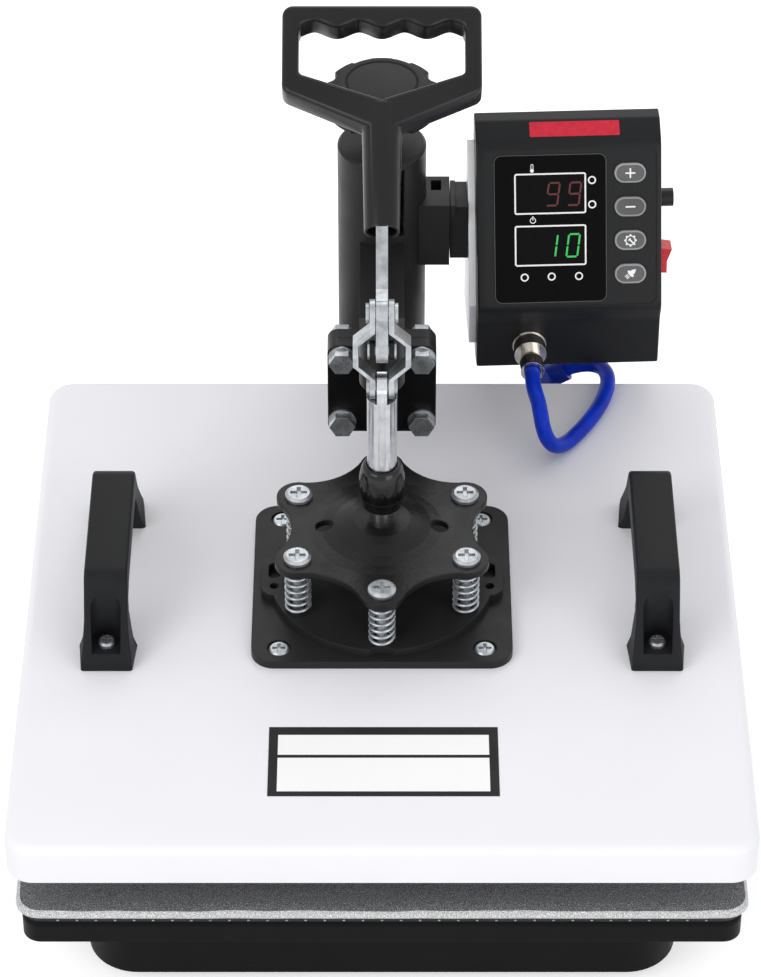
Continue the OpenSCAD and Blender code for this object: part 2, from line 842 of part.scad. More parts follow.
module barrel() {
    b = bush_d / 2;
    rotate_extrude() polygon([
        [b, barrel_z], [b + 0.9, barrel_z], [barrel_r - 0.9, barrel_z + 2.8], [barrel_r, barrel_z + 7],
        [barrel_r, barrel_top - 16], [barrel_r - 0.8, barrel_top - 8], [b + 1.3, barrel_top - 3],
        [b + 1.3, barrel_top], [b, barrel_top]
    ]);
}

module toggle_bracket() {
    color("black") at_plunger() difference() {
        union() {
            translate([0, flange_back, flange_z]) flange_plate();
            bracket_web();
            barrel();
            translate([0, nose_y + nose_w / 2, nose_top - nose_h]) cylinder(h = nose_h, d = nose_w);
            translate([-nose_w / 2, nose_y + nose_w / 2, nose_top - nose_h])
                cube([nose_w, 14, nose_h]);
            for (s = [-1, 1])
                translate([s * (ear_in + ear_t / 2), 0, fulcrum_z]) side_plate(ear_t) fulcrum_ear();
        }
        translate([0, 0, barrel_z - 1]) cylinder(h = barrel_h + 2, d = bush_d);
        translate([0, 0, fulcrum_z]) rotate([0, 90, 0])
            cylinder(h = 4 * lever_t, d = pin_d, center = true);
    }
}

module guide_bush() {
    color("darkgoldenrod") at_plunger() translate([0, 0, barrel_z]) difference() {
        cylinder(h = barrel_h, d = bush_d);
        translate([0, 0, -1]) cylinder(h = barrel_h + 2, d = plunger_d + 2 * run_fit);
    }
}

bolt_head_w = 13;
bolt_head_h = 5.5;
washer_t = 1.5;

module flange_bolts() {
    color("silver") at_plunger() for (s = flange_spots) {
        translate([s[0], flange_back - flange_t, flange_z + s[1]]) rotate([90, 0, 0]) {
            cylinder(h = washer_t, d = bolt_head_w + 3);
            translate([0, 0, washer_t - eps]) hex_head(bolt_head_w, bolt_head_h);
            translate([0, 0, -2 * flange_t - bolt_d]) cylinder(h = 2 * flange_t + bolt_d + eps, d = bolt_d);
        }
        translate([s[0], flange_back + flange_t, flange_z + s[1]]) rotate([-90, 0, 0]) difference() {
            hex_head(bolt_head_w, bolt_d * 0.8);
            translate([0, 0, -1]) cylinder(h = bolt_d + 2, d = bolt_d + 2 * run_fit);
        }
    }
}

rivet_head_d = 11;
rivet_head_t = 1.8;

module fulcrum_pin() {
    ear_out = ear_in + ear_t;
    clip_t = 1.2;
    color("silver") at_plunger() translate([0, 0, fulcrum_z]) rotate([0, 90, 0]) {
        cylinder(h = 2 * ear_out + 2 * clip_t, d = pin_d, center = true);
        for (s = [-1, 1]) translate([0, 0, s * (ear_out + clip_t / 2)])
            cylinder(h = clip_t, d = pin_d + 3, center = true);
    }
}

// Control box and its bracket

saddle_out = 40;
saddle_d = 30;
saddle_h = 43;
saddle_z = flange_z + 3;

module bracket_saddle() {
    slot_w = 6;
    slot_d = 10;
    at_column() difference() {
        translate([0, -saddle_d / 2, saddle_z]) cube([saddle_out, saddle_d, saddle_h]);
        cylinder(h = 2 * sleeve_top, d = sleeve_d + 2 * run_fit);
        translate([-1, -saddle_d, saddle_z - 1]) cube([sleeve_d / 4, 2 * saddle_d, saddle_h + 2]);
        translate([sleeve_d / 2 + 3, 1, saddle_z - 1]) cube([slot_w, slot_d, saddle_h + 2]);
    }
}

module bracket_hook() {
    hook_h = saddle_h - 6;
    hook_d = saddle_d - 4;
    hook_y = -hook_d / 2 + 1;
    rib_t = 3;
    difference() {
        at_column() {
            translate([saddle_out + slide_gap, hook_y, saddle_z + 3])
                cube([box_x - saddle_out, hook_d, hook_h]);
            translate([saddle_out + slide_gap, hook_y - 3, saddle_z + hook_h - 2])
                cube([rib_t, hook_d, 8]);
        }
        at_box() translate([-cheek_t, -box_d, -box_h]) cube([box_w, 3 * box_d, 3 * box_w]);
    }
}

module box_bracket() {
    color("black") bracket_saddle();
    color("black") bracket_hook();
}

// Outline points of the box seen from its right: the front from the strip up to the brow
front_line = [[0, 0], [0, strip_h], [lip_y, lip_z], [panel_top_y, panel_top_z], [brow_y, brow_z]];
split_line = [[split_top_y + 6, brow_z], [split_top_y, split_top_z], [split_y, split_z], [split_y, 0]];
inner_front = [
    [box_wall, box_wall], [box_wall, strip_h + 0.8],
    [lip_y + box_wall / cos(box_lean) + 0.4, lip_z + 0.6],
    [panel_top_y + box_wall / cos(box_lean) + 0.6, panel_top_z + 0.4 - box_wall],
    [brow_y + 0.6, brow_z - box_wall]
];
inner_split = [
    [split_top_y + 8, brow_z - box_wall], [split_top_y + 2, split_top_z],
    [split_y + 2, split_z], [split_y + 2, box_wall]
];

module box_solid(outline, x0, x1) {
    translate([x0, 0, 0]) rotate([90, 0, 90]) linear_extrude(x1 - x0) polygon(outline);
}

module pill(w, h, t) {
    r = h / 2;
    linear_extrude(t) {
        square([w - 2 * r, h], center = true);
        for (s = [-1, 1]) translate([s * (w / 2 - r), 0]) circle(r);
    }
}

board_w = box_w - 14;
board_h = panel_len - 8;
board_u = 7;
board_v = 3;
// Each chip's place on the board and its size
chips = [[[10, 12], [26, 18, 3]], [[48, 40], [30, 26, 6]]];
stand_d = 6;
stand_spots = [
    for (u = [board_u + 1.5, board_u + board_w - 1.5], v = [board_v + 5, board_v + board_h - 5]) [u, v]
];

module box_front() {
    color("black") difference() {
        union() {
            difference() {
                at_box() box_solid(concat(front_line, split_line), 0, box_w);
                at_box() box_solid(concat(inner_front, inner_split), box_wall, box_w - box_wall);
            }
            for (s = stand_spots) at_panel(s[0], s[1])
                translate([0, 0, -board_depth]) cylinder(h = board_depth - box_wall / 2, d = stand_d);
        }
        at_overlay() slab(overlay_w, overlay_h, 2, overlay_r);
        for (v = window_vs) at_panel(window_u, v)
            translate([-slide_gap, -slide_gap, -board_depth + 2])
                cube([window_w + 2 * slide_gap, window_h + 2 * slide_gap, board_depth]);
        for (v = button_vs) at_panel(button_u, v)
            translate([0, 0, -board_depth / 2])
                pill(button_w + 2 * slide_gap, button_h + 2 * slide_gap, board_depth);
        at_box() translate([socket_u, -1, socket_z]) rotate([-90, 0, 0])
            cylinder(h = box_wall + 2, d = socket_body_d + 2 * run_fit);
    }
}

module box_back() {
    outline = [[split_y, 0], [split_y, split_z], [split_top_y, split_top_z],
               [split_top_y + 6, brow_z], [box_d, brow_z - back_drop], [box_d, 0]];
    inner = [[split_y - 2, box_wall], [split_y - 2, split_z], [split_top_y - 2, split_top_z],
             [split_top_y + 4, brow_z - box_wall], [box_d - box_wall, brow_z - box_wall - back_drop],
             [box_d - box_wall, box_wall]];
    cheek = [[split_y, cheek_in], [split_y, split_z], [split_top_y, split_top_z],
             [split_top_y, brow_z - back_drop - cheek_in], [box_d - cheek_t, brow_z - back_drop - cheek_in],
             [box_d - cheek_t, cheek_in]];
    color("gainsboro") difference() {
        at_box() {
            box_solid(outline, 0, box_w);
            box_solid(cheek, -cheek_t, eps);
        }
        at_box() box_solid(inner, box_wall, box_w - box_wall);
        at_side(switch_y, switch_z) translate([0, 0, -box_wall - 1])
            linear_extrude(box_wall + 2) square([switch_w - 3, switch_h - 3], center = true);
        at_side(fuse_y, fuse_z) translate([0, 0, -box_wall - 1])
            cylinder(h = box_wall + 2, d = fuse_d - 2 + 2 * run_fit);
        at_box() translate([inlet_u, box_d - box_wall - 1, inlet_z]) rotate([-90, 0, 0])
            linear_extrude(box_wall + 2) square([inlet_w, inlet_h], center = true);
    }
}

module display_panel() {
    color("black") difference() {
        at_overlay() slab(overlay_w - 2 * run_fit, overlay_h - 2 * run_fit, overlay_t, overlay_r - run_fit);
        for (v = window_vs) at_panel(window_u, v)
            translate([0, 0, -board_depth / 2]) cube([window_w, window_h, board_depth]);
    }
}

module led_displays() {
    color("darkred") for (v = window_vs) at_panel(window_u, v)
        translate([run_fit, run_fit, -board_depth])
            cube([window_w - 2 * run_fit, window_h - 2 * run_fit, board_depth - 0.4]);
}

module control_board() {
    key = 6;
    key_t = board_depth - button_foot - button_travel - 0.3;
    color("darkgreen") {
        at_panel(board_u, board_v) translate([0, 0, -board_depth - board_t]) {
            cube([board_w, board_h, board_t]);
            for (c = chips) translate([c[0][0], c[0][1], -c[1][2] + eps]) cube(c[1]);
        }
        for (v = button_vs) at_panel(button_u, v)
            translate([-key / 2, -key / 2, -board_depth - eps]) cube([key, key, key_t]);
    }
}

module button(v) {
    color("dimgray") at_panel(button_u, v) translate([0, 0, -button_foot]) {
        pill(button_w, button_h, button_foot + button_proud - 0.6);
        translate([0, 0, button_foot + button_proud - 0.6 - eps])
            pill(button_w - 1.6, button_h - 1.6, 0.6 + eps);
    }
}

module button_plus() { button(button_vs[0]); }
module button_minus() { button(button_vs[1]); }
module button_set() { button(button_vs[2]); }
module button_start() { button(button_vs[3]); }

socket_nut_d = 20;
socket_nut_t = 3;

module cable_socket() {
    color("silver") at_box() translate([socket_u, 0, socket_z]) rotate([90, 0, 0]) {
        cylinder(h = socket_nut_t, d = socket_nut_d);
        translate([0, 0, -box_wall - 7]) cylinder(h = box_wall + 7 + eps, d = socket_body_d);
        translate([0, 0, socket_nut_t - eps]) cylinder(h = 3, d = socket_body_d - 3);
    }
}

module cable_plug() {
    ring_h = 9;
    body_d = 12;
    clamp_d = 14;
    clamp_h = 9;
    color("silver") at_box() translate([socket_u, -socket_nut_t, socket_z]) rotate([90, 0, 0])
        difference() {
            union() {
                translate([0, 0, 0.2]) cylinder(h = ring_h, d = socket_nut_d - 1);
                cylinder(h = plug_len - socket_nut_t - 1, d = body_d);
                translate([0, 0, plug_len - socket_nut_t - clamp_h]) cylinder(h = clamp_h, d = clamp_d);
            }
            translate([0, 0, -1]) cylinder(h = 4 + 1, d = socket_body_d - 3 + 2 * run_fit);
            translate([0, 0, plug_len - socket_nut_t - 6]) cylinder(h = 8, d = cable_d + 0.8);
        }
}

module fuse_holder() {
    color("black") at_side(fuse_y, fuse_z) {
        cylinder(h = fuse_proud, d = fuse_d);
        translate([0, 0, -fuse_deep]) cylinder(h = fuse_deep + eps, d = fuse_d - 2);
    }
}

// Rocker switch: the frame is a cup in the box's side, and the rocker tilts in it
rocker_tilt = 8;
rocker_d = 6;
rocker_proud = 7.5;
cup_deep = 11;

module switch_frame() {
    color("black") at_side(switch_y, switch_z) difference() {
        union() {
            linear_extrude(1.8) square([switch_w, switch_h], center = true);
            translate([0, 0, -cup_deep - 2]) linear_extrude(cup_deep + 2 + eps)
                square([switch_w - 3 - 2 * run_fit, switch_h - 3 - 2 * run_fit], center = true);
        }
        translate([0, 0, -cup_deep]) linear_extrude(cup_deep + 4)
            square([switch_w - 5, switch_h - 5], center = true);
        rotate([90, 0, 90]) cylinder(h = switch_w - 3, d = 2.4, center = true);
    }
}

module switch_rocker() {
    rocker_w = switch_w - 5 - 2 * slide_gap;
    half_h = (switch_h - 5) / 2 - 0.8;
    axle_d = 2.4 - 2 * run_fit;
    color("red") at_side(switch_y, switch_z) rotate([rocker_tilt, 0, 0]) {
        side_plate(rocker_w) polygon([
            [-half_h, -rocker_d], [half_h, -rocker_d], [half_h - 0.6, rocker_proud],
            [0, rocker_proud - 1.4], [-half_h + 0.6, rocker_proud]
        ]);
        rotate([90, 0, 90]) cylinder(h = switch_w - 3.6, d = axle_d, center = true);
    }
}

inlet_w = 28;
inlet_h = 20;

module power_inlet() {
    recess_w = 24;
    recess_h = 16;
    recess = 15;
    pin_gap = 7;
    color("black") at_box() translate([inlet_u, box_d, inlet_z]) rotate([-90, 0, 0]) {
        difference() {
            union() {
                linear_extrude(2.5) square([inlet_w + 8, inlet_h + 6], center = true);
                translate([0, 0, -recess - 2]) linear_extrude(recess + 2 + eps)
                    square([inlet_w - 2 * run_fit, inlet_h - 2 * run_fit], center = true);
            }
            translate([0, 0, -recess]) linear_extrude(recess + 4)
                square([recess_w, recess_h], center = true);
        }
        for (p = [[-pin_gap, 2], [0, -2], [pin_gap, 2]])
            translate([p[0] - 1, p[1] - 2, -recess - eps]) cube([2, 4, recess - 4]);
    }
}

// Lever, links and plunger

module lever_outline() {
    arm_y = -crank_r * sin(lever_lean - crank_angle);
    arm_z = crank_r * cos(lever_lean - crank_angle);
    eye = pin_d / 2 + 3.5;
    circle(eye);
    translate([arm_y, arm_z]) circle(eye);
    polygon([
        [eye, 0], [lever_w / 2, arm_z], [lever_w / 2, grip_start - 8], [-lever_w / 2, grip_start - 8],
        [-lever_w / 2, arm_z + 14], [arm_y - eye * 0.94, arm_z + 2], [-eye, 0]
    ]);
}

module lever_bar() {
    color("silver") difference() {
        at_lever() side_plate(lever_t) lever_outline();
        at_lever() rotate([0, 90, 0])
            cylinder(h = 2 * lever_t, d = pin_d + 2 * run_fit, center = true);
        at_links() rotate([0, 90, 0]) cylinder(h = 2 * lever_t, d = pin_d, center = true);
    }
}

module grip_outline() {
    half = grip_w / 2;
    knuckle = 6;
    waist = 18.5;
    side = 9.2;
    bar = 12;
    finger_r = 16;
    finger_t = 3;
    finger_step = 25;
    sill = 29.5;
    depth = grip_end - grip_start;
    inner = half - side;
    difference() {
        hull() {
            for (s = [-1, 1], t = [waist + knuckle, depth - knuckle])
                translate([s * (half - knuckle), t]) circle(knuckle, $fn = soft_fn);
            translate([0, socket_d / 2]) circle(socket_d / 2, $fn = soft_fn);
        }
        hull() {
            for (s = [-1, 1], t = [sill + 3.5, depth - bar - 3.5])
                translate([s * (inner - 3.5), t]) circle(3.5, $fn = soft_fn);
            translate([0, waist + 3.5]) circle(3.5, $fn = soft_fn);
        }
        intersection() {
            translate([-inner, depth - bar - finger_r]) square([2 * inner, 2 * finger_r]);
            for (x = [-1.5:1:1.5])
                translate([x * finger_step, depth - bar + finger_t - finger_r]) circle(finger_r);
        }
    }
}

module lever_grip() {
    slot_end = grip_start - 8 + slide_gap;
    color("black") at_lever() difference() {
        union() {
            translate([0, 0, socket_start])
                cylinder(h = grip_start - socket_start + 8, d1 = socket_d - 2, d2 = socket_d);
            translate([0, 0, grip_start]) rotate([90, 0, 0])
                linear_extrude(grip_t, center = true) grip_outline();
        }
        translate([-lever_t / 2 - run_fit, -lever_w / 2 - run_fit, socket_start - 1])
            cube([lever_t + 2 * run_fit, lever_w + 2 * run_fit, slot_end - socket_start + 1]);
    }
}

module upper_rivet() {
    outer = link_in + link_t + 0.3;
    color("silver") at_links() rotate([0, 90, 0]) {
        cylinder(h = 2 * outer, d = pin_d, center = true);
        for (s = [-1, 1]) translate([0, 0, s * (outer + rivet_head_t / 2 - eps)])
            cylinder(h = rivet_head_t, d = rivet_head_d, center = true);
    }
}

// One link: a strip that bows outwards past the fulcrum ears between its two pins
module link(side) {
    eye = link_w / 2;
    i = link_in;
    b = link_bow / 2;
    ts = [eye, -9, -16.5, pin_drop - link_len - 10, -link_len + 6, -link_len - eye];
    xs = [i, i, b, b, i, i];
    last = len(ts) - 1;
    strip = concat(
        [for (k = [0:last]) [side * xs[k], ts[k]]],
        [for (k = [last:-1:0]) [side * (xs[k] + link_t), ts[k]]]
    );
    at_links() difference() {
        intersection() {
            rotate([90, 0, 0]) linear_extrude(link_w, center = true) polygon(strip);
            side_plate(4 * link_bow) {
                circle(eye);
                translate([0, -link_len]) circle(eye);
                translate([-eye, -link_len]) square([2 * eye, link_len]);
            }
        }
        rotate([0, 90, 0]) cylinder(h = 2 * link_bow, d = pin_d + 2 * run_fit, center = true);
        translate([0, 0, -link_len]) rotate([0, 90, 0]) cylinder(h = 2 * link_bow, d = pin_d, center = true);
    }
}

module link_left() { color("silver") link(-1); }
module link_right() { color("silver") link(1); }

module lower_rivets() {
    inner = tongue_t / 2 + slide_gap;
    outer = link_in + link_t;
    color("silver") at_links() translate([0, 0, -link_len]) for (s = [0, 180])
        rotate([0, 90, s]) {
            translate([0, 0, inner]) cylinder(h = outer - inner + eps, d = pin_d);
            translate([0, 0, outer]) cylinder(h = rivet_head_t, d = rivet_head_d);
        }
}

module plunger_rod() {
    shoulder = pin_z - link_w / 2 - slide_gap;
    color("silver") at_plunger() {
        translate([0, 0, star_z]) cylinder(h = collar_gap + star_t + 2, d = collar_d);
        translate([0, 0, barrel_z + 1]) cylinder(h = shoulder - barrel_z - 1, d = plunger_d);
        intersection() {
            union() {
                translate([0, 0, shoulder - eps]) cylinder(h = pin_z - shoulder + eps, d = plunger_d);
                translate([0, 0, pin_z]) rotate([0, 90, 0])
                    cylinder(h = plunger_d, d = plunger_d - 0.4, center = true);
            }
            translate([-tongue_t / 2, -plunger_d, shoulder - 1])
                cube([tongue_t, 2 * plunger_d, 2 * plunger_d]);
        }
    }
}

// Hollows between the lobes: arcs that run into two neighbouring lobes and overlap them a little
lobe_in = spring_circle_r * cos(30);
lobe_side = spring_circle_r * sin(30);
scallop_lap = 0.2;
scallop_gap = scallop_reach - lobe_in;
scallop_touch_r = lobe_r - scallop_lap;
scallop_r = (lobe_side ^ 2 + scallop_gap ^ 2 - scallop_touch_r ^ 2) / (2 * (scallop_touch_r - scallop_gap));
scallop_out = scallop_reach + scallop_r;
lobe_touch = [lobe_in, lobe_side] + lobe_r * unit([scallop_out - lobe_in, -lobe_side]);
dome_r = scallop_reach - 10;
dome_line = [[1, 0], [0.8, 0.1], [0.62, 0.3], [0.45, 0.6], [0.28, 0.86], [0.12, 0.97], [0, 1]];

module star_outline() {
    difference() {
        circle(norm(lobe_touch));
        for (a = spring_angles) rotate(a + 30) translate([scallop_out, 0]) circle(scallop_r, $fn = 128);
    }
    for (a = spring_angles) rotate(a) translate([spring_circle_r, 0]) circle(lobe_r);
}

// Round plate with a dome in its middle, a little wider than the lobes reach
module star_disc() {
    c = collar_d / 2;
    rim = spring_circle_r + lobe_r + 1;
    upper = concat([[rim, star_t]], [for (q = dome_line) [c + (dome_r - c) * q[0], star_t + dome_h * q[1]]]);
    lower = [for (k = [len(upper) - 1:-1:0]) upper[k] - [0, star_t]];
    rotate_extrude() polygon(concat(upper, lower));
}

module star_plate() {
    hole_x = 32;
    hole_d = 10;
    color("black") at_plunger() translate([0, 0, star_z]) difference() {
        intersection() {
            star_disc();
            translate([0, 0, -1]) linear_extrude(star_t + dome_h + 2) star_outline();
        }
        for (s = [-1, 1]) translate([s * hole_x, 0, -1]) cylinder(h = star_t + dome_h + 2, d = hole_d);
        for (a = spring_angles) rotate(a) translate([spring_circle_r, 0, -1])
            cylinder(h = star_t + 2, d = spring_screw_d + 2 * slide_gap);
    }
}

// Head: spring screws, springs and their seat

module spring_screws() {
    head_d = 15.5;
    head_t = 3;
    color("silver") at_springs() {
        translate([0, 0, plate_top]) cylinder(h = star_top - plate_top + run_fit + eps, d = spring_screw_d);
        translate([0, 0, star_top + run_fit]) cross_head(head_d, head_t);
    }
}

// Path of one spring: upright ends one wire long, and a helix of even pitch between them
rings_per_turn = 8;
spring_ring_count = spring_turns * rings_per_turn;
spring_rise = spring_len - 2 * wire_d - 2 * run_fit;
spring_end_turn = 360 * spring_turns;
function spring_side(i) = [cos(360 * i / rings_per_turn), sin(360 * i / rings_per_turn), 0];
spring_path = concat(
    [[spring_r, 0, run_fit]],
    [for (i = [0:spring_ring_count])
        spring_r * spring_side(i) + [0, 0, run_fit + wire_d + spring_rise * i / spring_ring_count]],
    [[spring_r * cos(spring_end_turn), spring_r * sin(spring_end_turn), spring_len - run_fit]]
);
spring_sides = concat(
    [spring_side(0)], [for (i = [0:spring_ring_count]) spring_side(i)], [spring_side(spring_ring_count)]
);
spring_self_gap = min([
    for (i = [0:len(spring_path) - 1], j = [0:len(spring_path) - 1])
        if (j - i >= rings_per_turn / 2) norm(spring_path[i] - spring_path[j]) - wire_d
]);
echo("Least gap between a spring's own turns, mm", spring_self_gap);

module springs() {
    color("silver") at_springs() translate([0, 0, seat_top])
        tube(spring_path, wire_d / 2, 6, spring_sides);
}

module spring_seat() {
    ear_x = 136;
    ear_y = 34;
    slot_x = 60.5;
    notch_r = 10;
    notch_t = 3;
    color("black") at_plunger() translate([0, 0, plate_top]) difference() {
        linear_extrude(seat_t) {
            circle(seat_r);
            rounded_plan(min(ear_x, mount_plate_w - 4), ear_y, 8);
        }
        for (s = [-1, 1]) translate([s * slot_x, 0, -1]) {
            translate([0, 4, 0]) linear_extrude(seat_t + 2) rounded_plan(6.6, 13, 3);
            translate([0, -9, 0]) cylinder(h = seat_t + 2, d = 5);
        }
        for (a = [90, 270]) rotate(a) translate([seat_r + notch_r - notch_t, 0, -1])
            cylinder(h = seat_t + 2, r = notch_r);
        for (a = spring_angles) rotate(a) translate([spring_circle_r, 0, -1])
            cylinder(h = seat_t + 2, d = spring_screw_d);
    }
}

module mount_plate() {
    color("black") at_plunger() translate([0, 0, cover_top]) difference() {
        slab(mount_plate_w, mount_plate_d, mount_plate_t, 13);
        for (s = mount_spots) translate([s[0], s[1], -1]) {
            cylinder(h = mount_plate_t + 2, d = mount_screw_d + 2 * slide_gap);
            translate([0, 0, 1 + mount_plate_t - mount_head_t])
                cylinder(h = mount_head_t + 1, d = mount_head_d + 1);
        }
    }
}

module mount_screws() {
    color("silver") at_plunger() for (s = mount_spots) translate([s[0], s[1], 0]) {
        translate([0, 0, plate_top - mount_head_t]) cross_head(mount_head_d, mount_head_t);
        translate([0, 0, platen_top - 6])
            cylinder(h = plate_top - mount_head_t - platen_top + 6 + eps, d = mount_screw_d);
    }
}

handle_spots = [for (sx = [-1, 1], sy = [-1, 1]) [sx * handle_x, sy * handle_screw_step]];

module head_cover() {
    color("whitesmoke") difference() {
        at_head() translate([0, 0, head_z])
            soft_slab(cover_w, cover_d, cover_h, cover_corner_r, cover_edge_r);
        at_head() translate([0, 0, head_z - 1])
            slab(cover_w - 2 * cover_wall, cover_d - 2 * cover_wall, cover_h - cover_wall + 1,
                 cover_corner_r - cover_wall);
        at_plunger() for (s = mount_spots) translate([s[0], s[1], cover_under - 1])
            cylinder(h = cover_wall + 2, d = mount_screw_d + 2 * slide_gap);
        for (s = handle_spots) translate([s[0], handle_y + s[1], cover_under - 1])
            cylinder(h = cover_wall + 2, d = handle_screw_d);
    }
}

boss_d = 16;

module insulation() {
    margin = 4;
    w = cover_w - 2 * cover_wall - 2 * margin;
    d = cover_d - 2 * cover_wall - 2 * margin;
    color("khaki") difference() {
        at_head() translate([0, 0, platen_top]) slab(w, d, insulation_t, cover_corner_r - cover_wall);
        at_plunger() for (s = mount_spots) translate([s[0], s[1], platen_top - 1])
            cylinder(h = insulation_t + 2, d = boss_d + 1);
    }
}

// Heater path in the platen's top: four runs joined by half rings
heater_run_y = 150;
heater_inner_y = 90;
heater_turn_x = 145;
heater_bend_x = 80;
heater_end_x = 165;

module half_ring(r, w, side) {
    intersection() {
        difference() {
            circle(r + w / 2);
            circle(r - w / 2);
        }
        translate([side > 0 ? 0 : -2 * r, -2 * r]) square([2 * r, 4 * r]);
    }
}

module heater_plan(w) {
    step = heater_run_y - heater_inner_y;
    for (s = [-1, 1]) {
        translate([-heater_turn_x, s * heater_run_y - w / 2]) square([heater_turn_x + heater_end_x, w]);
        translate([-heater_turn_x, s * heater_inner_y - w / 2]) square([heater_turn_x + heater_bend_x, w]);
        translate([-heater_turn_x, s * (heater_inner_y + step / 2)]) half_ring(step / 2, w, -1);
    }
    translate([heater_bend_x, 0]) half_ring(heater_inner_y, w, 1);
}

module heating_platen() {
    margin = 1.5;
    w = cover_w - 2 * cover_wall - 2 * margin;
    d = cover_d - 2 * cover_wall - 2 * margin;
    color("silver") difference() {
        union() {
            at_head() translate([0, 0, head_z]) slab(w, d, platen_t, cover_corner_r - cover_wall - margin);
            at_plunger() for (s = mount_spots) translate([s[0], s[1], platen_top - eps])
                cylinder(h = cover_under - platen_top + eps, d = boss_d);
        }
        at_head() translate([0, 0, platen_top - heater_t])
            linear_extrude(heater_t + 1) heater_plan(heater_w + 2 * run_fit);
        at_plunger() for (s = mount_spots) translate([s[0], s[1], platen_top - 6])
            cylinder(h = cover_h, d = mount_screw_d);
    }
}

module heater_element() {
    color("slategray") at_head() translate([0, 0, platen_top - heater_t])
        linear_extrude(heater_t - run_fit) heater_plan(heater_w);
}

// Bow handle: two feet, two raking legs and a level bar, with a screw in each foot's recess
bar_t = 16;

module carry_handle() {
    end_len = 26;
    top_step = handle_top_len / 2 - end_len / 2;
    foot_in = foot_step - foot_len / 2;
    arch_z = handle_h - bar_t;
    difference() {
        hull() for (s = [-1, 1]) {
            translate([0, s * foot_step, 0]) slab(handle_foot_w, foot_len, 5, 8, $fn = soft_fn);
            translate([0, s * top_step, arch_z]) soft_slab(handle_bar_w, end_len, bar_t, 9.5, 4.5);
        }
        side_plate(2 * handle_foot_w) polygon([
            [-foot_in, -1], [foot_in, -1], [foot_in - 4, arch_z - 11], [foot_in - 15, arch_z],
            [-foot_in + 15, arch_z], [-foot_in + 4, arch_z - 11]
        ]);
        for (s = [-1, 1]) translate([0, s * handle_screw_step, handle_floor]) {
            linear_extrude(handle_h) {
                circle(d = handle_recess_w);
                translate([-handle_recess_w / 2, s > 0 ? 0 : -foot_len]) square([handle_recess_w, foot_len]);
            }
            translate([0, 0, -2 * handle_floor]) cylinder(h = 3 * handle_floor, d = handle_screw_d);
        }
    }
}

module carry_handles() {
    color("black") for (s = [-1, 1]) translate([s * handle_x, handle_y, cover_top]) carry_handle();
}

module handle_screws() {
    color("silver") for (s = handle_spots) translate([s[0], handle_y + s[1], cover_top]) {
        translate([0, 0, handle_floor]) cross_head(9.5, 3);
        translate([0, 0, -cover_wall]) cylinder(h = handle_floor + cover_wall + eps, d = handle_screw_d);
    }
}

// Angled gland on the back of the cover: its mouth takes the end of the head cable
module cable_gland() {
    back_y = cover_y + cover_d / 2;
    stub = gland_at[1] - back_y;
    body_d = 15;
    mouth_d = 14;
    mouth = 15;
    color("black") difference() {
        translate([gland_at[0], back_y, gland_at[2]]) rotate([-90, 0, 0]) {
            cylinder(h = 3, d = body_d + 3);
            cylinder(h = stub + body_d / 2, d = body_d);
            translate([0, 0, stub]) rotate([0, 90, 0]) rotate([gland_rise, 0, 0])
                cylinder(h = mouth, d = mouth_d);
        }
        translate([gland_at[0], gland_at[1], gland_at[2]]) rotate([0, 90 - gland_rise, 0])
            translate([0, 0, 6]) cylinder(h = mouth, d = cable_d + 0.8);
    }
}

// Blue cable between the plug and the angled gland on the back of the cover
module head_cable() {
    up = [0, 0, 1];
    sideways = [1, 0, 0];
    color("royalblue") tube(
        cable_points, cable_d / 2, cable_sides,
        [for (i = [0:len(cable_points) - 1]) i < 9 ? sideways : i < 16 ? up : [0, 1, 0.2]]
    );
}

base_frame();
rear_beam();
rubber_feet();
post_foot();
post_bolts();
column_post();
cross_bars();
platen_bolts();
lower_platen();
press_pad();
thrust_cup();
pressure_screw();
knob_body();
knob_cap();
column_sleeve();
sleeve_lid();
screw_nut();
sleeve_bushes();
swing_arm();
toggle_bracket();
guide_bush();
flange_bolts();
fulcrum_pin();
box_bracket();
box_front();
box_back();
display_panel();
led_displays();
control_board();
cable_socket();
cable_plug();
fuse_holder();
switch_frame();
power_inlet();
button_plus();
button_minus();
button_set();
button_start();
switch_rocker();
lever_bar();
lever_grip();
upper_rivet();
link_left();
link_right();
lower_rivets();
plunger_rod();
star_plate();
spring_screws();
springs();
spring_seat();
mount_plate();
mount_screws();
head_cover();
insulation();
heating_platen();
heater_element();
carry_handles();
handle_screws();
cable_gland();
head_cable();
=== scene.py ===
"""Looks of a swing-away flat heat press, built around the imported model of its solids."""

import logging
import math
from contextlib import contextmanager
from dataclasses import dataclass
from enum import Enum
from typing import Callable, Iterator, Sequence

import bpy
from mathutils import Matrix, Vector


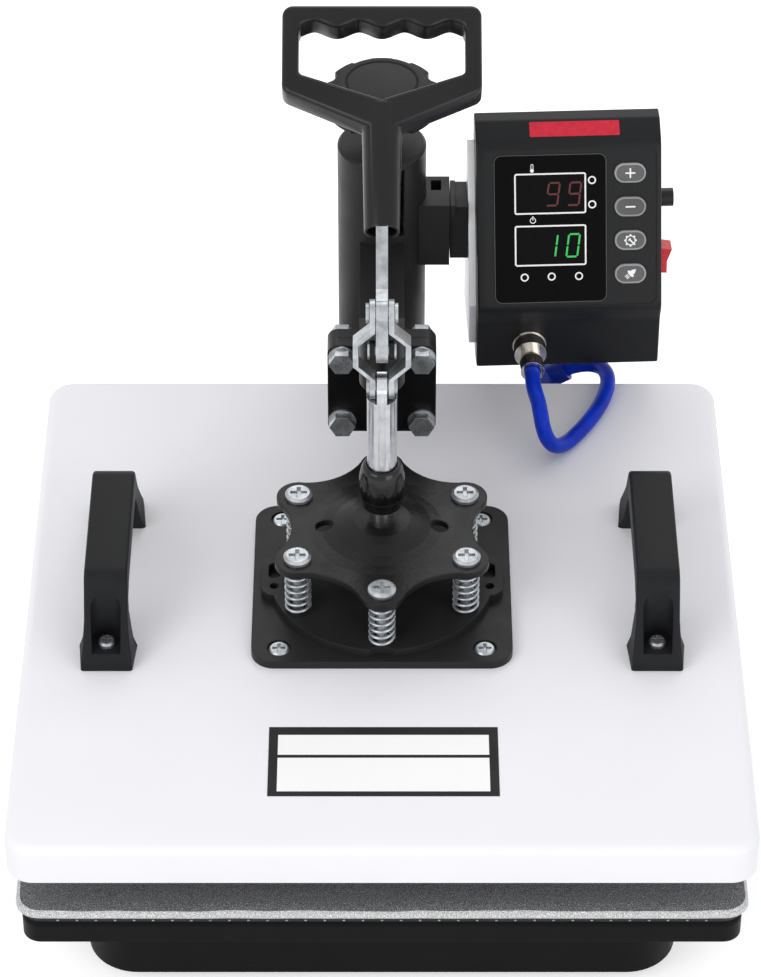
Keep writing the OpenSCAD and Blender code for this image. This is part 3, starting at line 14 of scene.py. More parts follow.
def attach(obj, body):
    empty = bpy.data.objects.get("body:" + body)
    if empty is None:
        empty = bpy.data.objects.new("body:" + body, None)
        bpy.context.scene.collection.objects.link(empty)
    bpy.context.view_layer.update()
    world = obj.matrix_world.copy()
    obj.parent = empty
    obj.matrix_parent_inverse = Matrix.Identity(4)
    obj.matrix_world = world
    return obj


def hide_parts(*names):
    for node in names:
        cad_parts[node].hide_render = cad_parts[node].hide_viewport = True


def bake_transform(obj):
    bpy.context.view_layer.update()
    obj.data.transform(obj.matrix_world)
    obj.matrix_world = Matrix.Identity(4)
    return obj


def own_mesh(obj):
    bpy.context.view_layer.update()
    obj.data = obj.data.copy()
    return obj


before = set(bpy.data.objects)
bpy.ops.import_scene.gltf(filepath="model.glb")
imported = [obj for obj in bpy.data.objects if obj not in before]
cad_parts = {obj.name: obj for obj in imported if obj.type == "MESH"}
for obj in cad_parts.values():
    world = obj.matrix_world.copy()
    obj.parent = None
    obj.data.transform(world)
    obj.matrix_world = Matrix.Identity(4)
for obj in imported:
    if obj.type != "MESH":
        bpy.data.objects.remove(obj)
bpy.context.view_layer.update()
LOG = logging.getLogger("heat_press")

MM = 0.001
NEAR = 1e-5
TINY = 1e-6
COVER_Y = -38 * MM
PLUNGER_Y = -29 * MM
COLUMN_Y = 194.5 * MM
TRAY_TOP = 70 * MM
COVER_LOW = 106 * MM
COVER_TOP = 130 * MM
LINE_HEIGHT = 0.12 * MM
SIGN_HEIGHT = 0.14 * MM

Pair = tuple[float, float]
Color = Point = tuple[float, float, float]
Outline = list[Pair]
Piece = bpy.types.Object
Socket = bpy.types.NodeSocket
Test = Callable[[Vector, Vector], bool]

# Middle part of a noise, which holds most of its values
MIDDLE = (0.3, 0.7)

# Turns an outline of length and height into a side view, extruded along X
SIDE_VIEW = Matrix(((0, 0, 1, 0), (1, 0, 0, 0), (0, 1, 0, 0), (0, 0, 0, 1)))


# Finishes


class NodeGraph:
    """A material's node tree with one Principled shader, and short ways to extend it."""

    def __init__(self, name: str) -> None:
        """Start a material with an empty Principled shader.

        Args:
            name: Name of the material.
        """
        self.material = bpy.data.materials.new(name)
        self.material.use_nodes = True
        self.tree = self.material.node_tree
        self.shader = self.tree.nodes["Principled BSDF"]

    def fill(self, node: bpy.types.Node, inputs: dict[str, object]) -> None:
        """Give a node's inputs their values or links.

        Args:
            node: The node.
            inputs: Values, or sockets to link, by the names of the inputs.
        """
        for key, value in inputs.items():
            if isinstance(value, Socket):
                self.tree.links.new(value, node.inputs[key])
            else:
                node.inputs[key].default_value = value

    def add(self, kind: str, inputs: dict[str, object], **settings: object) -> bpy.types.Node:
        """Add a node.

        Args:
            kind: Type name of the node.
            inputs: Values, or sockets to link, by the names of its inputs.
            settings: Attributes of the node to set.

        Returns:
            The new node.
        """
        node = self.tree.nodes.new(kind)
        for key, value in settings.items():
            setattr(node, key, value)
        self.fill(node, inputs)
        return node

    def set(self, **inputs: object) -> None:
        """Fill the shader's own inputs by name, with _ for a space."""
        self.fill(self.shader, {key.replace("_", " "): value for key, value in inputs.items()})

    def place(self, stretch: Point = (1.0, 1.0, 1.0)) -> Socket:
        """Object coordinates, stretched along each axis."""
        coordinates = self.add("ShaderNodeTexCoord", {}).outputs["Object"]
        return self.add("ShaderNodeMapping", {"Scale": stretch, "Vector": coordinates}).outputs["Vector"]

    def noise(self, scale: float, detail: float = 3.0, stretch: Point = (1.0, 1.0, 1.0)) -> Socket:
        """Cloudy noise from 0 to 1, by its waves in a metre and its number of finer layers."""
        inputs = {"Scale": scale, "Detail": detail, "Vector": self.place(stretch)}
        return self.add("ShaderNodeTexNoise", inputs).outputs["Fac"]

    def cells(self, scale: float) -> Socket:
        """Distance from the middles of Voronoi cells, by their number in a metre."""
        return self.add("ShaderNodeTexVoronoi", {"Scale": scale, "Vector": self.place()}).outputs["Distance"]

    def spread(self, source: Socket, low: float, high: float) -> Socket:
        """Map the middle part of a 0 to 1 value to a range."""
        ends = {"From Min": MIDDLE[0], "From Max": MIDDLE[1], "To Min": low, "To Max": high}
        return self.add("ShaderNodeMapRange", {**ends, "Value": source}).outputs["Result"]

    def tint(self, factor: Socket, low: Color, high: Color, edges: Pair = MIDDLE) -> Socket:
        """Blend two colours by a factor.

        Args:
            factor: Value socket.
            low: Colour at the lower edge.
            high: Colour at the upper edge.
            edges: Factor values of the two colours.

        Returns:
            The colour socket.
        """
        ramp = self.add("ShaderNodeValToRGB", {"Fac": factor})
        for stop, edge, color in zip(ramp.color_ramp.elements, edges, (low, high)):
            stop.position = edge
            stop.color = (*color, 1.0)
        return ramp.outputs["Color"]

    def relief(self, height: Socket, depth: float, edge: float = 0.0, strength: float = 1.0) -> None:
        """Give the shader a bumpy surface, with softened edges.

        Args:
            height: Height of the bumps, from 0 to 1.
            depth: Depth of the bumps in metres.
            edge: Radius of the softened edges in metres, or 0 for none.
            strength: Strength of the bumps.
        """
        bump = self.add("ShaderNodeBump", {"Distance": depth, "Strength": strength, "Height": height})
        if edge > 0:
            bevel = self.add("ShaderNodeBevel", {"Radius": edge}, samples=4)
            self.fill(bump, {"Normal": bevel.outputs["Normal"]})
        self.set(Normal=bump.outputs["Normal"])


def shade(color: Color, by: float) -> Color:
    """Lighten or darken a colour by a factor."""
    return tuple(min(1.0, c * by) for c in color)


@dataclass(frozen=True)
class Finish:
    """A named finish with a main colour."""

    name: str
    color: Color

    def shades(self, low: float, high: float) -> tuple[Color, Color]:
        """The main colour by a low and a high factor."""
        return shade(self.color, low), shade(self.color, high)

    def dress(self, graph: NodeGraph) -> None:
        """Fill the material's graph, each kind of finish in its own way."""
        raise NotImplementedError

    def build(self) -> bpy.types.Material:
        """Make the material.

        Returns:
            The material.
        """
        graph = NodeGraph(self.name)
        self.dress(graph)
        return graph.material


@dataclass(frozen=True)
class PaintFinish(Finish):
    """Baked paint with a faint orange peel and softened edges."""

    roughness: float
    edge: float = 0.8 * MM
    grain: float = 700.0
    depth: float = 0.05 * MM
    mottle: float = 0.08
    gloss: float = 0.2

    def dress(self, graph: NodeGraph) -> None:
        """Mottle the colour, scuff the gloss and add the peel."""
        graph.set(
            Specular_IOR_Level=self.gloss,
            Base_Color=graph.tint(graph.noise(14.0, 4.0), *self.shades(1 - self.mottle, 1 + self.mottle)),
            Roughness=graph.spread(graph.noise(60.0, 5.0), self.roughness - 0.05, self.roughness + 0.07),
        )
        graph.relief(graph.noise(self.grain, 2.0), self.depth, self.edge)


@dataclass(frozen=True)
class MetalFinish(Finish):
    """Plated or turned metal with fine streaks."""

    roughness: float
    streak: Point = (1.0, 1.0, 0.05)
    edge: float = 0.3 * MM
    depth: float = 0.02 * MM
    metallic: float = 1.0
    bloom: Pair = (0.86, 1.1)

    def dress(self, graph: NodeGraph) -> None:
        """Cloud the colour and streak the gloss.

        Args:
            graph: The material's graph.
        """
        streaks = graph.noise(1800.0, 2.0, self.streak)
        graph.set(
            Metallic=self.metallic,
            Base_Color=graph.tint(graph.noise(160.0, 5.0), *self.shades(*self.bloom)),
            Roughness=graph.spread(streaks, self.roughness - 0.07, self.roughness + 0.09),
        )
        graph.relief(streaks, self.depth, self.edge, 0.5)


@dataclass(frozen=True)
class MouldedFinish(Finish):
    """Moulded plastic or rubber with a pebbled grain."""

    roughness: float
    grain: float = 1100.0
    depth: float = 0.08 * MM
    edge: float = 0.0
    gloss: float = 0.22

    def dress(self, graph: NodeGraph) -> None:
        """Cloud the colour and the gloss, and add the grain.

        Args:
            graph: The material's graph.
        """
        clouds = graph.noise(25.0, 4.0)
        graph.set(
            Specular_IOR_Level=self.gloss,
            Base_Color=graph.tint(clouds, *self.shades(0.85, 1.15)),
            Roughness=graph.spread(clouds, self.roughness - 0.04, self.roughness + 0.06),
        )
        graph.relief(graph.cells(self.grain), self.depth, self.edge, 0.6)


@dataclass(frozen=True)
class ClothFinish(Finish):
    """Coated cloth with a fine weave and bright flecks."""

    fleck: Color
    fleck_edge: float = 0.62
    roughness: float = 0.7
    threads: float = 1400.0

    def dress(self, graph: NodeGraph) -> None:
        """Fleck the colour, vary the gloss and add the weave.

        Args:
            graph: The material's graph.
        """
        weave = graph.add(
            "ShaderNodeTexWave", {"Scale": self.threads / 6.0, "Distortion": 1.5, "Vector": graph.place()},
            bands_direction="DIAGONAL", wave_profile="SIN",
        )
        edges = (self.fleck_edge - 0.12, self.fleck_edge + 0.06)
        graph.set(
            Sheen_Weight=0.06, Sheen_Roughness=0.5, Specular_IOR_Level=0.2,
            Base_Color=graph.tint(graph.noise(2200.0, 1.0), self.color, self.fleck, edges),
            Roughness=graph.spread(graph.noise(40.0), self.roughness - 0.1, self.roughness + 0.1),
        )
        graph.relief(weave.outputs["Fac"], 0.12 * MM, 0.0, 0.5)


@dataclass(frozen=True)
class GlossFinish(Finish):
    """Glossy film or lacquer with faint dust in its gloss."""

    roughness: float
    coat: float
    gloss: float

    def dress(self, graph: NodeGraph) -> None:
        """Lay the coat and the dust."""
        dust = graph.noise(350.0, 6.0)
        graph.set(
            Coat_Weight=self.coat, Coat_Roughness=0.05, Specular_IOR_Level=self.gloss,
            Base_Color=graph.tint(dust, *self.shades(0.9, 1.15)),
            Roughness=graph.spread(dust, self.roughness, self.roughness + 0.08),
        )


@dataclass(frozen=True)
class GlowFinish(Finish):
    """Lit display segment, a little uneven across its face."""

    strength: float

    def dress(self, graph: NodeGraph) -> None:
        """Give the segment its colour and its own light."""
        light = graph.tint(graph.noise(900.0, 2.0), *self.shades(0.8, 1.0))
        graph.set(Roughness=0.3, Emission_Strength=self.strength, Emission_Color=light, Base_Color=light)


@dataclass(frozen=True)
class SleeveFinish(Finish):
    """Close-fitting braided cable sleeve."""

    def dress(self, graph: NodeGraph) -> None:
        """Cloud the colour and the gloss, and add the strands.

        Args:
            graph: The material's graph.
        """
        clouds = graph.noise(70.0, 4.0)
        graph.set(
            Specular_IOR_Level=0.14,
            Base_Color=graph.tint(clouds, *self.shades(0.75, 1.25)),
            Roughness=graph.spread(clouds, 0.28, 0.42),
        )
        graph.relief(graph.cells(900.0), 0.15 * MM, 0.0, 0.35)


class Look(Enum):
    """Finishes of the press."""

    BLACK_ENAMEL = PaintFinish("black_baked_enamel", (0.016, 0.016, 0.0165), 0.38, gloss=0.18)
    BASE_ENAMEL = PaintFinish("base_enamel", (0.0045, 0.0045, 0.005), 0.45, gloss=0.08)
    CAST_BLACK = PaintFinish(
        "cast_black_paint", (0.006, 0.006, 0.0065), 0.32, 1.4 * MM, 420.0, 0.12 * MM, 0.1, 0.24
    )
    BARREL_BLACK = PaintFinish("barrel_black", (0.003, 0.003, 0.0035), 0.16, 0.0, 520.0, 0.06 * MM, 0.1, 0.4)
    WHITE_ENAMEL = PaintFinish("white_baked_enamel", (0.83, 0.83, 0.865), 0.5, 0.0, 500.0, 0.02 * MM, 0.012)
    SILVER_ENAMEL = MetalFinish(
        "silver_paint", (0.86, 0.865, 0.88), 0.42, (1.0, 1.0, 1.0), 0.8 * MM,
        metallic=0.85, bloom=(0.96, 1.03),
    )
    ZINC = MetalFinish(
        "bright_zinc", (0.5, 0.525, 0.55), 0.32, (1.0, 1.0, 0.3), 0.4 * MM, metallic=0.8, bloom=(0.62, 1.1)
    )
    NICKEL = MetalFinish("nickel_plate", (0.72, 0.69, 0.64), 0.17)
    CHROME = MetalFinish("ground_steel", (0.7, 0.71, 0.73), 0.15)
    BRONZE = MetalFinish("turned_bronze", (0.6, 0.43, 0.2), 0.35)
    ALUMINIUM = MetalFinish("milled_aluminium", (0.74, 0.75, 0.77), 0.36, (0.05, 1.0, 1.0))
    HEATER = MetalFinish("heater_foil", (0.34, 0.34, 0.37), 0.5)
    BOARD = MouldedFinish("board_fibre", (0.72, 0.67, 0.52), 0.9, 300.0)
    RUBBER = MouldedFinish("black_rubber", (0.012, 0.012, 0.012), 0.75, 600.0, 0.1 * MM, 1.0 * MM)
    PLASTIC = MouldedFinish("black_plastic", (0.007, 0.007, 0.0075), 0.27, 1300.0, 0.03 * MM, 0.7 * MM, 0.28)
    BOW_PLASTIC = MouldedFinish("bow_plastic", (0.0115, 0.012, 0.013), 0.5, 1100.0, 0.07 * MM, 0.7 * MM, 0.13)
    KNOB_PLASTIC = MouldedFinish(
        "knob_plastic", (0.012, 0.012, 0.0125), 0.48, 1300.0, 0.03 * MM, 0.5 * MM, 0.18
    )
    BEZEL = MouldedFinish("pebbled_bezel", (0.006, 0.0065, 0.0075), 0.42, 850.0, 0.14 * MM, 0.0, 0.24)
    SHELL = MouldedFinish("satin_shell", (0.006, 0.0065, 0.0075), 0.38, 1500.0, 0.03 * MM)
    GLOSS_BLACK = GlossFinish("gloss_overlay", (0.0012, 0.0012, 0.0012), 0.25, 0.0, 0.06)
    SMOKED = GlossFinish("smoked_window", (0.0035, 0.003, 0.003), 0.3, 0.0, 0.06)
    BUTTON = MouldedFinish("grey_button", (0.12, 0.12, 0.122), 0.55, 1500.0, 0.04 * MM, 0.0, 0.2)
    BUTTON_RIM = MouldedFinish("button_rim", (0.32, 0.32, 0.325), 0.45, 1500.0, 0.02 * MM)
    # Light grey hairline round the overlay: a painted highlight along its rim.
    PANEL_LINE = MouldedFinish("painted_rim_highlight", (0.075, 0.075, 0.08), 0.45, 1500.0, 0.02 * MM)
    PRINT_WHITE = PaintFinish("white_print", (0.9, 0.9, 0.9), 0.5, 0.0, 700.0, 0.01 * MM, 0.02)
    PRINT_BLACK = PaintFinish("black_print", (0.01, 0.01, 0.01), 0.5, 0.0)
    STRIP_RED = GlossFinish("red_strip", (0.56, 0.022, 0.045), 0.45, 0.0, 0.2)
    SWITCH_RED = GlossFinish("red_switch", (0.62, 0.015, 0.025), 0.25, 0.2, 0.4)
    GLOW_RED = GlowFinish("red_segments", (0.1, 0.004, 0.006), 0.12)
    GLOW_GREEN = GlowFinish("green_segments", (0.015, 0.46, 0.08), 0.4)
    CIRCUIT = MouldedFinish("circuit_board", (0.03, 0.16, 0.07), 0.45, 500.0)
    # One coated cloth in two painted tones: the pad's top darkened as painted shade from the head above, its
    # rolled edge lightened as painted light where it catches the lamps.
    PAD_TOP = ClothFinish("pad_top_cloth_painted_shade", (0.075, 0.076, 0.08), (0.36, 0.365, 0.37))
    PAD_ROLL = ClothFinish("pad_roll_cloth_painted_light", (0.35, 0.355, 0.36), (0.84, 0.84, 0.85), 0.56)
    PAD_HEM = ClothFinish("pad_hem", (0.007, 0.007, 0.0075), (0.02, 0.02, 0.02))
    THREAD = ClothFinish("white_thread", (0.3, 0.3, 0.29), (0.5, 0.5, 0.48))
    CABLE = SleeveFinish("blue_sleeve", (0.002, 0.03, 0.47))
    BOOT = MouldedFinish("blue_boot", (0.004, 0.024, 0.3), 0.4, 900.0, 0.05 * MM, 0.5 * MM)

    @property
    def material(self) -> bpy.types.Material:
        """The finish's material, made on first use."""
        return bpy.data.materials.get(self.value.name) or self.value.build()


class Slot(Enum):
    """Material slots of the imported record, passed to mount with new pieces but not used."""

    WHITE = "white_enamel"
    BLACK = "black_enamel"
    PLASTIC = "plastic_black"
    BUTTON = "button_grey"
    LED = "led_unit"
    PAD = "pad_cloth"
    ZINC = "zinc_steel"
    CABLE = "cable_blue"


class Body(Enum):
    """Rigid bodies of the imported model."""

    BASE = "base"
    ARM = "arm"
    HEAD = "head"
    LEVER = "lever"
    SCREW = "screw"


# Modelling helpers


class Part(Enum):
    """Kind of mesh element to select."""

    EDGE = (False, True, False)
    FACE = (False, False, True)


class Boolean(Enum):
    """Way to combine two closed shapes."""

    CUT = "DIFFERENCE"
    UNITE = "UNION"


def deselect() -> None:
    """Leave no object selected."""
    bpy.ops.object.select_all(action="DESELECT")


def activate(piece: Piece) -> None:
    """Make a piece the only selected one, and the active one.

    Args:
        piece: The piece.
    """
    deselect()
    piece.select_set(True)
    bpy.context.view_layer.objects.active = piece


@contextmanager
def editing(piece: Piece, part: Part = Part.FACE) -> Iterator[None]:
    """Edit mode on one piece.

    Args:
        piece: The piece to edit.
        part: Kind of element to select in.
    """
    activate(piece)
    bpy.context.tool_settings.mesh_select_mode = part.value
    bpy.ops.object.mode_set(mode="EDIT")
    yield
    bpy.ops.object.mode_set(mode="OBJECT")


def unpick(mesh: bpy.types.Mesh) -> None:
    """Deselect every element of a mesh."""
    for group in (mesh.vertices, mesh.edges, mesh.polygons):
        group.foreach_set("select", [False] * len(group))


def pick_edges(piece: Piece, test: Test) -> None:
    """Select edges by the places of their two ends.

    Args:
        piece: The piece, in object mode.
        test: Says whether an edge with these ends is selected.
    """
    unpick(piece.data)
    for edge in piece.data.edges:
        edge.select = test(*(piece.data.vertices[i].co for i in edge.vertices))


def pick_faces(piece: Piece, test: Test) -> None:
    """Select faces by their centre and normal.

    Args:
        piece: The piece, in object mode.
        test: Says whether a face with this centre and normal is selected.
    """
    unpick(piece.data)
    for face in piece.data.polygons:
        face.select = test(face.center, face.normal)


def settle(piece: Piece) -> Piece:
    """Move a piece's place, turn and size into its mesh.

    Args:
        piece: The piece.

    Returns:
        The same piece, at the origin.
    """
    activate(piece)
    bpy.ops.object.transform_apply(location=True, rotation=True, scale=True)
    return piece


def put(piece: Piece, place: Matrix) -> Piece:
    """Move a piece from the origin to its place."""
    piece.matrix_world = place @ piece.matrix_world
    return settle(piece)


def named(name: str) -> Piece:
    """Name the object that an operator has just added.

    Args:
        name: The new name.

    Returns:
        The object.
    """
    piece = bpy.context.view_layer.objects.active
    piece.name = name
    piece.data.name = name
    return piece


def block(name: str, low: Sequence[float], high: Sequence[float]) -> Piece:
    """Add a box between two corners.

    Args:
        name: Name of the piece.
        low: Lowest corner.
        high: Highest corner.

    Returns:
        The box.
    """
    deselect()
    centre = [(a + b) / 2 for a, b in zip(low, high)]
    bpy.ops.mesh.primitive_cube_add(size=1, location=centre)
    piece = named(name)
    piece.scale = [b - a for a, b in zip(low, high)]
    return settle(piece)


def drum(
    name: str, radius: float, low: float, high: float, sides: int = 64, top: float | None = None
) -> Piece:
    """Add an upright drum or cone about the origin.

    Args:
        name: Name of the piece.
        radius: Radius at the bottom.
        low: Height of the bottom.
        high: Height of the top.
        sides: Number of sides.
        top: Radius at the top, the same as at the bottom if left out.

    Returns:
        The drum.
    """
    deselect()
    bpy.ops.mesh.primitive_cone_add(
        vertices=sides, radius1=radius, radius2=radius if top is None else top,
        depth=high - low, location=(0, 0, (low + high) / 2),
    )
    return settle(named(name))


def disc(name: str, count: int) -> Piece:
    """Add a filled circle with its face selected.

    Args:
        name: Name of the piece.
        count: Number of corners.

    Returns:
        The disc, of radius 1.
    """
    deselect()
    bpy.ops.mesh.primitive_circle_add(vertices=count, fill_type="NGON")
    piece = named(name)
    pick_faces(piece, lambda centre, normal: True)
    return piece


def extrude(rise: float) -> None:
    """Extrude the selected faces upwards, in edit mode."""
    bpy.ops.mesh.extrude_region_move(TRANSFORM_OT_translate={"value": (0, 0, rise)})


def face_outwards(piece: Piece) -> None:
    """Turn every face of a piece outwards.

    Args:
        piece: The piece, in object mode.
    """
    with editing(piece):
        bpy.ops.mesh.select_all(action="SELECT")
        bpy.ops.mesh.normals_make_consistent(inside=False)


def plate(name: str, outline: Sequence[Pair], low: float, high: float) -> Piece:
    """Add an upright plate with a given outline.

    Args:
        name: Name of the piece.
        outline: Corner points of the outline, one after the other.
        low: Height of the lower face.
        high: Height of the upper face.

    Returns:
        The plate.
    """
    piece = disc(name, len(outline))
    for vertex, (x, y) in zip(piece.data.vertices, outline):
        vertex.co = (x, y, low)
    with editing(piece):
        extrude(high - low)
    face_outwards(piece)
    return piece


def arc(centre: Pair, radius: float, start: float, end: float, steps: int) -> Outline:
    """Points of a circle's arc, from one angle to another in degrees."""
    angles = [math.radians(start + (end - start) * k / steps) for k in range(steps + 1)]
    return [(centre[0] + radius * math.cos(a), centre[1] + radius * math.sin(a)) for a in angles]


def ringed(name: str, rings: Sequence[Sequence[Point]]) -> Piece:
    """Add a closed skin over rings of points, one after the other.

    Args:
        name: Name of the piece.
        rings: Rings with the same number of points, all counted the same way round.

    Returns:
        The piece, with a flat face on its first and on its last ring.
    """
    count = len(rings[0])
    piece = disc(name, count)
    with editing(piece):
        for _ in rings[1:]:
            extrude(1)
    for vertex in piece.data.vertices:
        turn = math.atan2(vertex.co.y, vertex.co.x) / (2 * math.pi)
        vertex.co = rings[round(vertex.co.z)][round(turn * count) % count]
    face_outwards(piece)
    return piece


def round_edges(piece: Piece, test: Test, radius: float, segments: int) -> Piece:
    """Round chosen edges of a piece.

    Args:
        piece: The piece.
        test: Says whether an edge with these ends is rounded.
        radius: Radius of the rounding.
        segments: Number of faces across it.

    Returns:
        The same piece.
    """
    pick_edges(piece, test)
    with editing(piece, Part.EDGE):
        bpy.ops.mesh.bevel(offset=radius, segments=segments, affect="EDGES", clamp_overlap=True)
    return piece


def upright(a: Vector, b: Vector) -> bool:
    """Whether an edge runs along Z."""
    return abs(a.z - b.z) > NEAR and (a.xy - b.xy).length < TINY


def apply_all(piece: Piece) -> None:
    """Apply every modifier of a piece, from the first to the last.

    Args:
        piece: The piece.
    """
    activate(piece)
    for modifier in list(piece.modifiers):
        bpy.ops.object.modifier_apply(modifier=modifier.name)


def soften(piece: Piece, width: float, segments: int, angle: float = 40.0) -> None:
    """Round all edges sharper than an angle.

    Args:
        piece: The piece.
        width: Width of the rounding.
        segments: Number of faces across it.
        angle: Least angle of a sharp edge, in degrees.
    """
    bevel = piece.modifiers.new("soft_edges", "BEVEL")
    bevel.width = width
    bevel.segments = segments
    bevel.limit_method = "ANGLE"
    bevel.angle_limit = math.radians(angle)
    apply_all(piece)


def combine(piece: Piece, tool: Piece, way: Boolean = Boolean.CUT) -> None:
    """Cut a tool out of a piece or unite the two, and remove the tool.

    Args:
        piece: The piece to change.
        tool: The closed shape to take away or to add.
        way: Whether to cut or to unite.
    """
    boolean = piece.modifiers.new("combine", "BOOLEAN")
    boolean.operation = way.value
    boolean.solver = "EXACT"
    boolean.object = tool
    apply_all(piece)
    bpy.data.objects.remove(tool)


def smooth(piece: Piece, angle: float = 40.0) -> None:
    """Shade a piece smooth, with edges over an angle left sharp."""
    activate(piece)
    bpy.ops.object.shade_smooth_by_angle(angle=math.radians(angle))


def merge(pieces: Sequence[Piece]) -> Piece:
    """Join pieces into the first one.

    Args:
        pieces: The pieces.

    Returns:
        The joined piece.
    """
    activate(pieces[0])
    for piece in pieces[1:]:
        piece.select_set(True)
    if len(pieces) > 1:
        bpy.ops.object.join()
    return pieces[0]


def paint(piece: Piece, *looks: Look) -> Piece:
    """Give a piece its materials.

    Args:
        piece: The piece.
        looks: Finishes, in the order of the piece's material indices.

    Returns:
        The same piece.
    """
    for slot in piece.material_slots:
        slot.material = looks[0].material
    for look in looks[len(piece.material_slots):]:
        piece.data.materials.append(look.material)
    return piece


def mount(piece: Piece, body: Body, slot: Slot, *nodes: str) -> Piece:
    """Fix a finished piece to a body.

    Args:
        piece: The piece, in place.
        body: Body that it moves with.
        slot: Not used.
        nodes: Solids that it stands for.

    Returns:
        The same piece.
    """
    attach(piece, body.value)
    if nodes:
        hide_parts(*nodes)
    LOG.info("%s rides on %s, %d faces", piece.name, body.value, len(piece.data.polygons))
    return piece


def tube(name: str, points: Sequence[Point], radius: float, resolution: int) -> Piece:
    """Sweep a round wire along points.

    Args:
        name: Name of the piece.
        points: Points of the wire's centre line.
        radius: Radius of the wire.
        resolution: Roundness of the wire.

    Returns:
        The wire as a mesh.
    """
    deselect()
    bpy.ops.curve.primitive_nurbs_path_add()
    curve = named(name)
    data = curve.data
    data.splines.clear()
    spline = data.splines.new("POLY")
    spline.points.add(len(points) - 1)
    for target, point in zip(spline.points, points):
        target.co = (*point, 1.0)
    data.dimensions = "3D"
    data.twist_mode = "MINIMUM"
    data.bevel_depth = radius
    data.bevel_resolution = resolution
    data.use_fill_caps = True
    curve.location = (0, 0, 0)
    activate(curve)
    bpy.ops.object.convert(target="MESH")
    return bpy.context.view_layer.objects.active


def flowing(points: Sequence[Point], steps: int) -> list[Point]:
    """Points of a smooth curve through given points.

    Args:
        points: Points to pass through.
        steps: Number of steps between two of them.

    Returns:
        The finer points.
    """
    stops = [Vector(p) for p in points]
    stops = [stops[0] * 2 - stops[1], *stops, stops[-1] * 2 - stops[-2]]
    fine: list[Point] = []
    for i in range(1, len(stops) - 2):
        a, b, c, d = stops[i - 1:i + 3]
        for k in range(steps):
            t = k / steps
            place = 2 * b + (c - a) * t
            place = place + (2 * a - 5 * b + 4 * c - d) * t**2
            place = place + (3 * b - a - 3 * c + d) * t**3
            fine.append(tuple(0.5 * place))
    fine.append(tuple(points[-1]))
    return fine


# Camera and studio


@dataclass
class Studio:
    """Camera at the photograph's viewing angle, pale floor and soft light."""

    camera_place: Point = (-0.8 * MM, -1708.5 * MM, 1601 * MM)
    pitch: float = 39.76
    lens: float = 145.5
    sensor: float = 36.0
    view_end: float = 50.0
    floor_size: float = 12.0
    floor_color: Color = (0.8, 0.8, 0.805)
    floor_lift: float = 0.5
    ambient: float = 0.78
    lamp_size: float = 1.4
    lamps: tuple[tuple[str, Point, Point, float], ...] = (
        ("key_lamp", (-1.6, -1.5, 1.6), (0, 0, 0.15), 20.0),
        ("fill_lamp", (1.4, -1.8, 0.8), (0.05, 0.1, 0.15), 13.0),
        ("back_lamp", (0.2, 1.6, 1.8), (0, 0, 0.25), 8.0),
    )

    def seen(self, tree: bpy.types.NodeTree, unseen: float, seen: float) -> Socket:
        """Strength that differs for the rays that show the background.

        Args:
            tree: Node tree of the floor or the world.
            unseen: Strength for rays that only light the object.
            seen: Strength for camera, glossy and transmission rays.

        Returns:
            The strength.
        """
        path = tree.nodes.new("ShaderNodeLightPath")
        shown = path.outputs["Is Camera Ray"]
        for name in ("Is Glossy Ray", "Is Transmission Ray"):
            larger = tree.nodes.new("ShaderNodeMath")
            larger.operation = "MAXIMUM"
            tree.links.new(shown, larger.inputs[0])
            tree.links.new(path.outputs[name], larger.inputs[1])
            shown = larger.outputs[0]
        strength = tree.nodes.new("ShaderNodeMapRange")
        strength.inputs["To Min"].default_value = unseen
        strength.inputs["To Max"].default_value = seen
        tree.links.new(shown, strength.inputs["Value"])
        return strength.outputs["Result"]

    def set_camera(self) -> None:
        """Add the camera."""
        deselect()
        bpy.ops.object.camera_add(location=self.camera_place, rotation=(math.radians(90 - self.pitch), 0, 0))
        camera = bpy.context.view_layer.objects.active
        camera.data.lens = self.lens
        camera.data.sensor_width = self.sensor
        camera.data.clip_end = self.view_end
        bpy.context.scene.camera = camera

    def lay_floor(self) -> None:
        """Add the floor."""
        deselect()
        bpy.ops.mesh.primitive_plane_add(size=self.floor_size)
        floor = named("studio_floor")
        graph = NodeGraph("studio_floor")
        graph.set(
            Roughness=0.9, Specular_IOR_Level=0.0, Emission_Color=(1.0, 1.0, 1.0, 1.0),
            Base_Color=graph.tint(graph.noise(2.0, 2.0), shade(self.floor_color, 0.995), self.floor_color),
            Emission_Strength=self.seen(graph.tree, 0.0, self.floor_lift),
        )
        floor.data.materials.append(graph.material)

    def lamp(self, name: str, place: Point, aim: Point, watts: float) -> None:
        """Add a square soft lamp.

        Args:
            name: Name of the lamp.
            place: Where it stands.
            aim: Point that it faces.
            watts: Power.
        """
        deselect()
        bpy.ops.object.light_add(type="AREA", location=place)
        lamp = bpy.context.view_layer.objects.active
        lamp.name = name
        lamp.data.energy = watts
        lamp.data.size = self.lamp_size
        lamp.rotation_euler = (Vector(aim) - Vector(place)).to_track_quat("-Z", "Y").to_euler()

    def light(self) -> None:
        """Set the world and the lamps."""
        world = bpy.data.worlds.new("studio_world")
        bpy.context.scene.world = world
        world.use_nodes = True
        background = world.node_tree.nodes["Background"]
        background.inputs["Color"].default_value = (1.0, 1.0, 1.0, 1.0)
        strength = self.seen(world.node_tree, self.ambient, 1.0)
        world.node_tree.links.new(strength, background.inputs["Strength"])
        for lamp in self.lamps:
            self.lamp(*lamp)

    def build(self) -> None:
        """Set up the whole studio."""
        bpy.context.scene.view_settings.view_transform = "Standard"
        self.set_camera()
        self.lay_floor()
        self.light()


# Pieces of the press

# Lit segments of the digits shown
SEGMENTS = {"9": "abcdfg", "1": "bc", "0": "abcdef"}

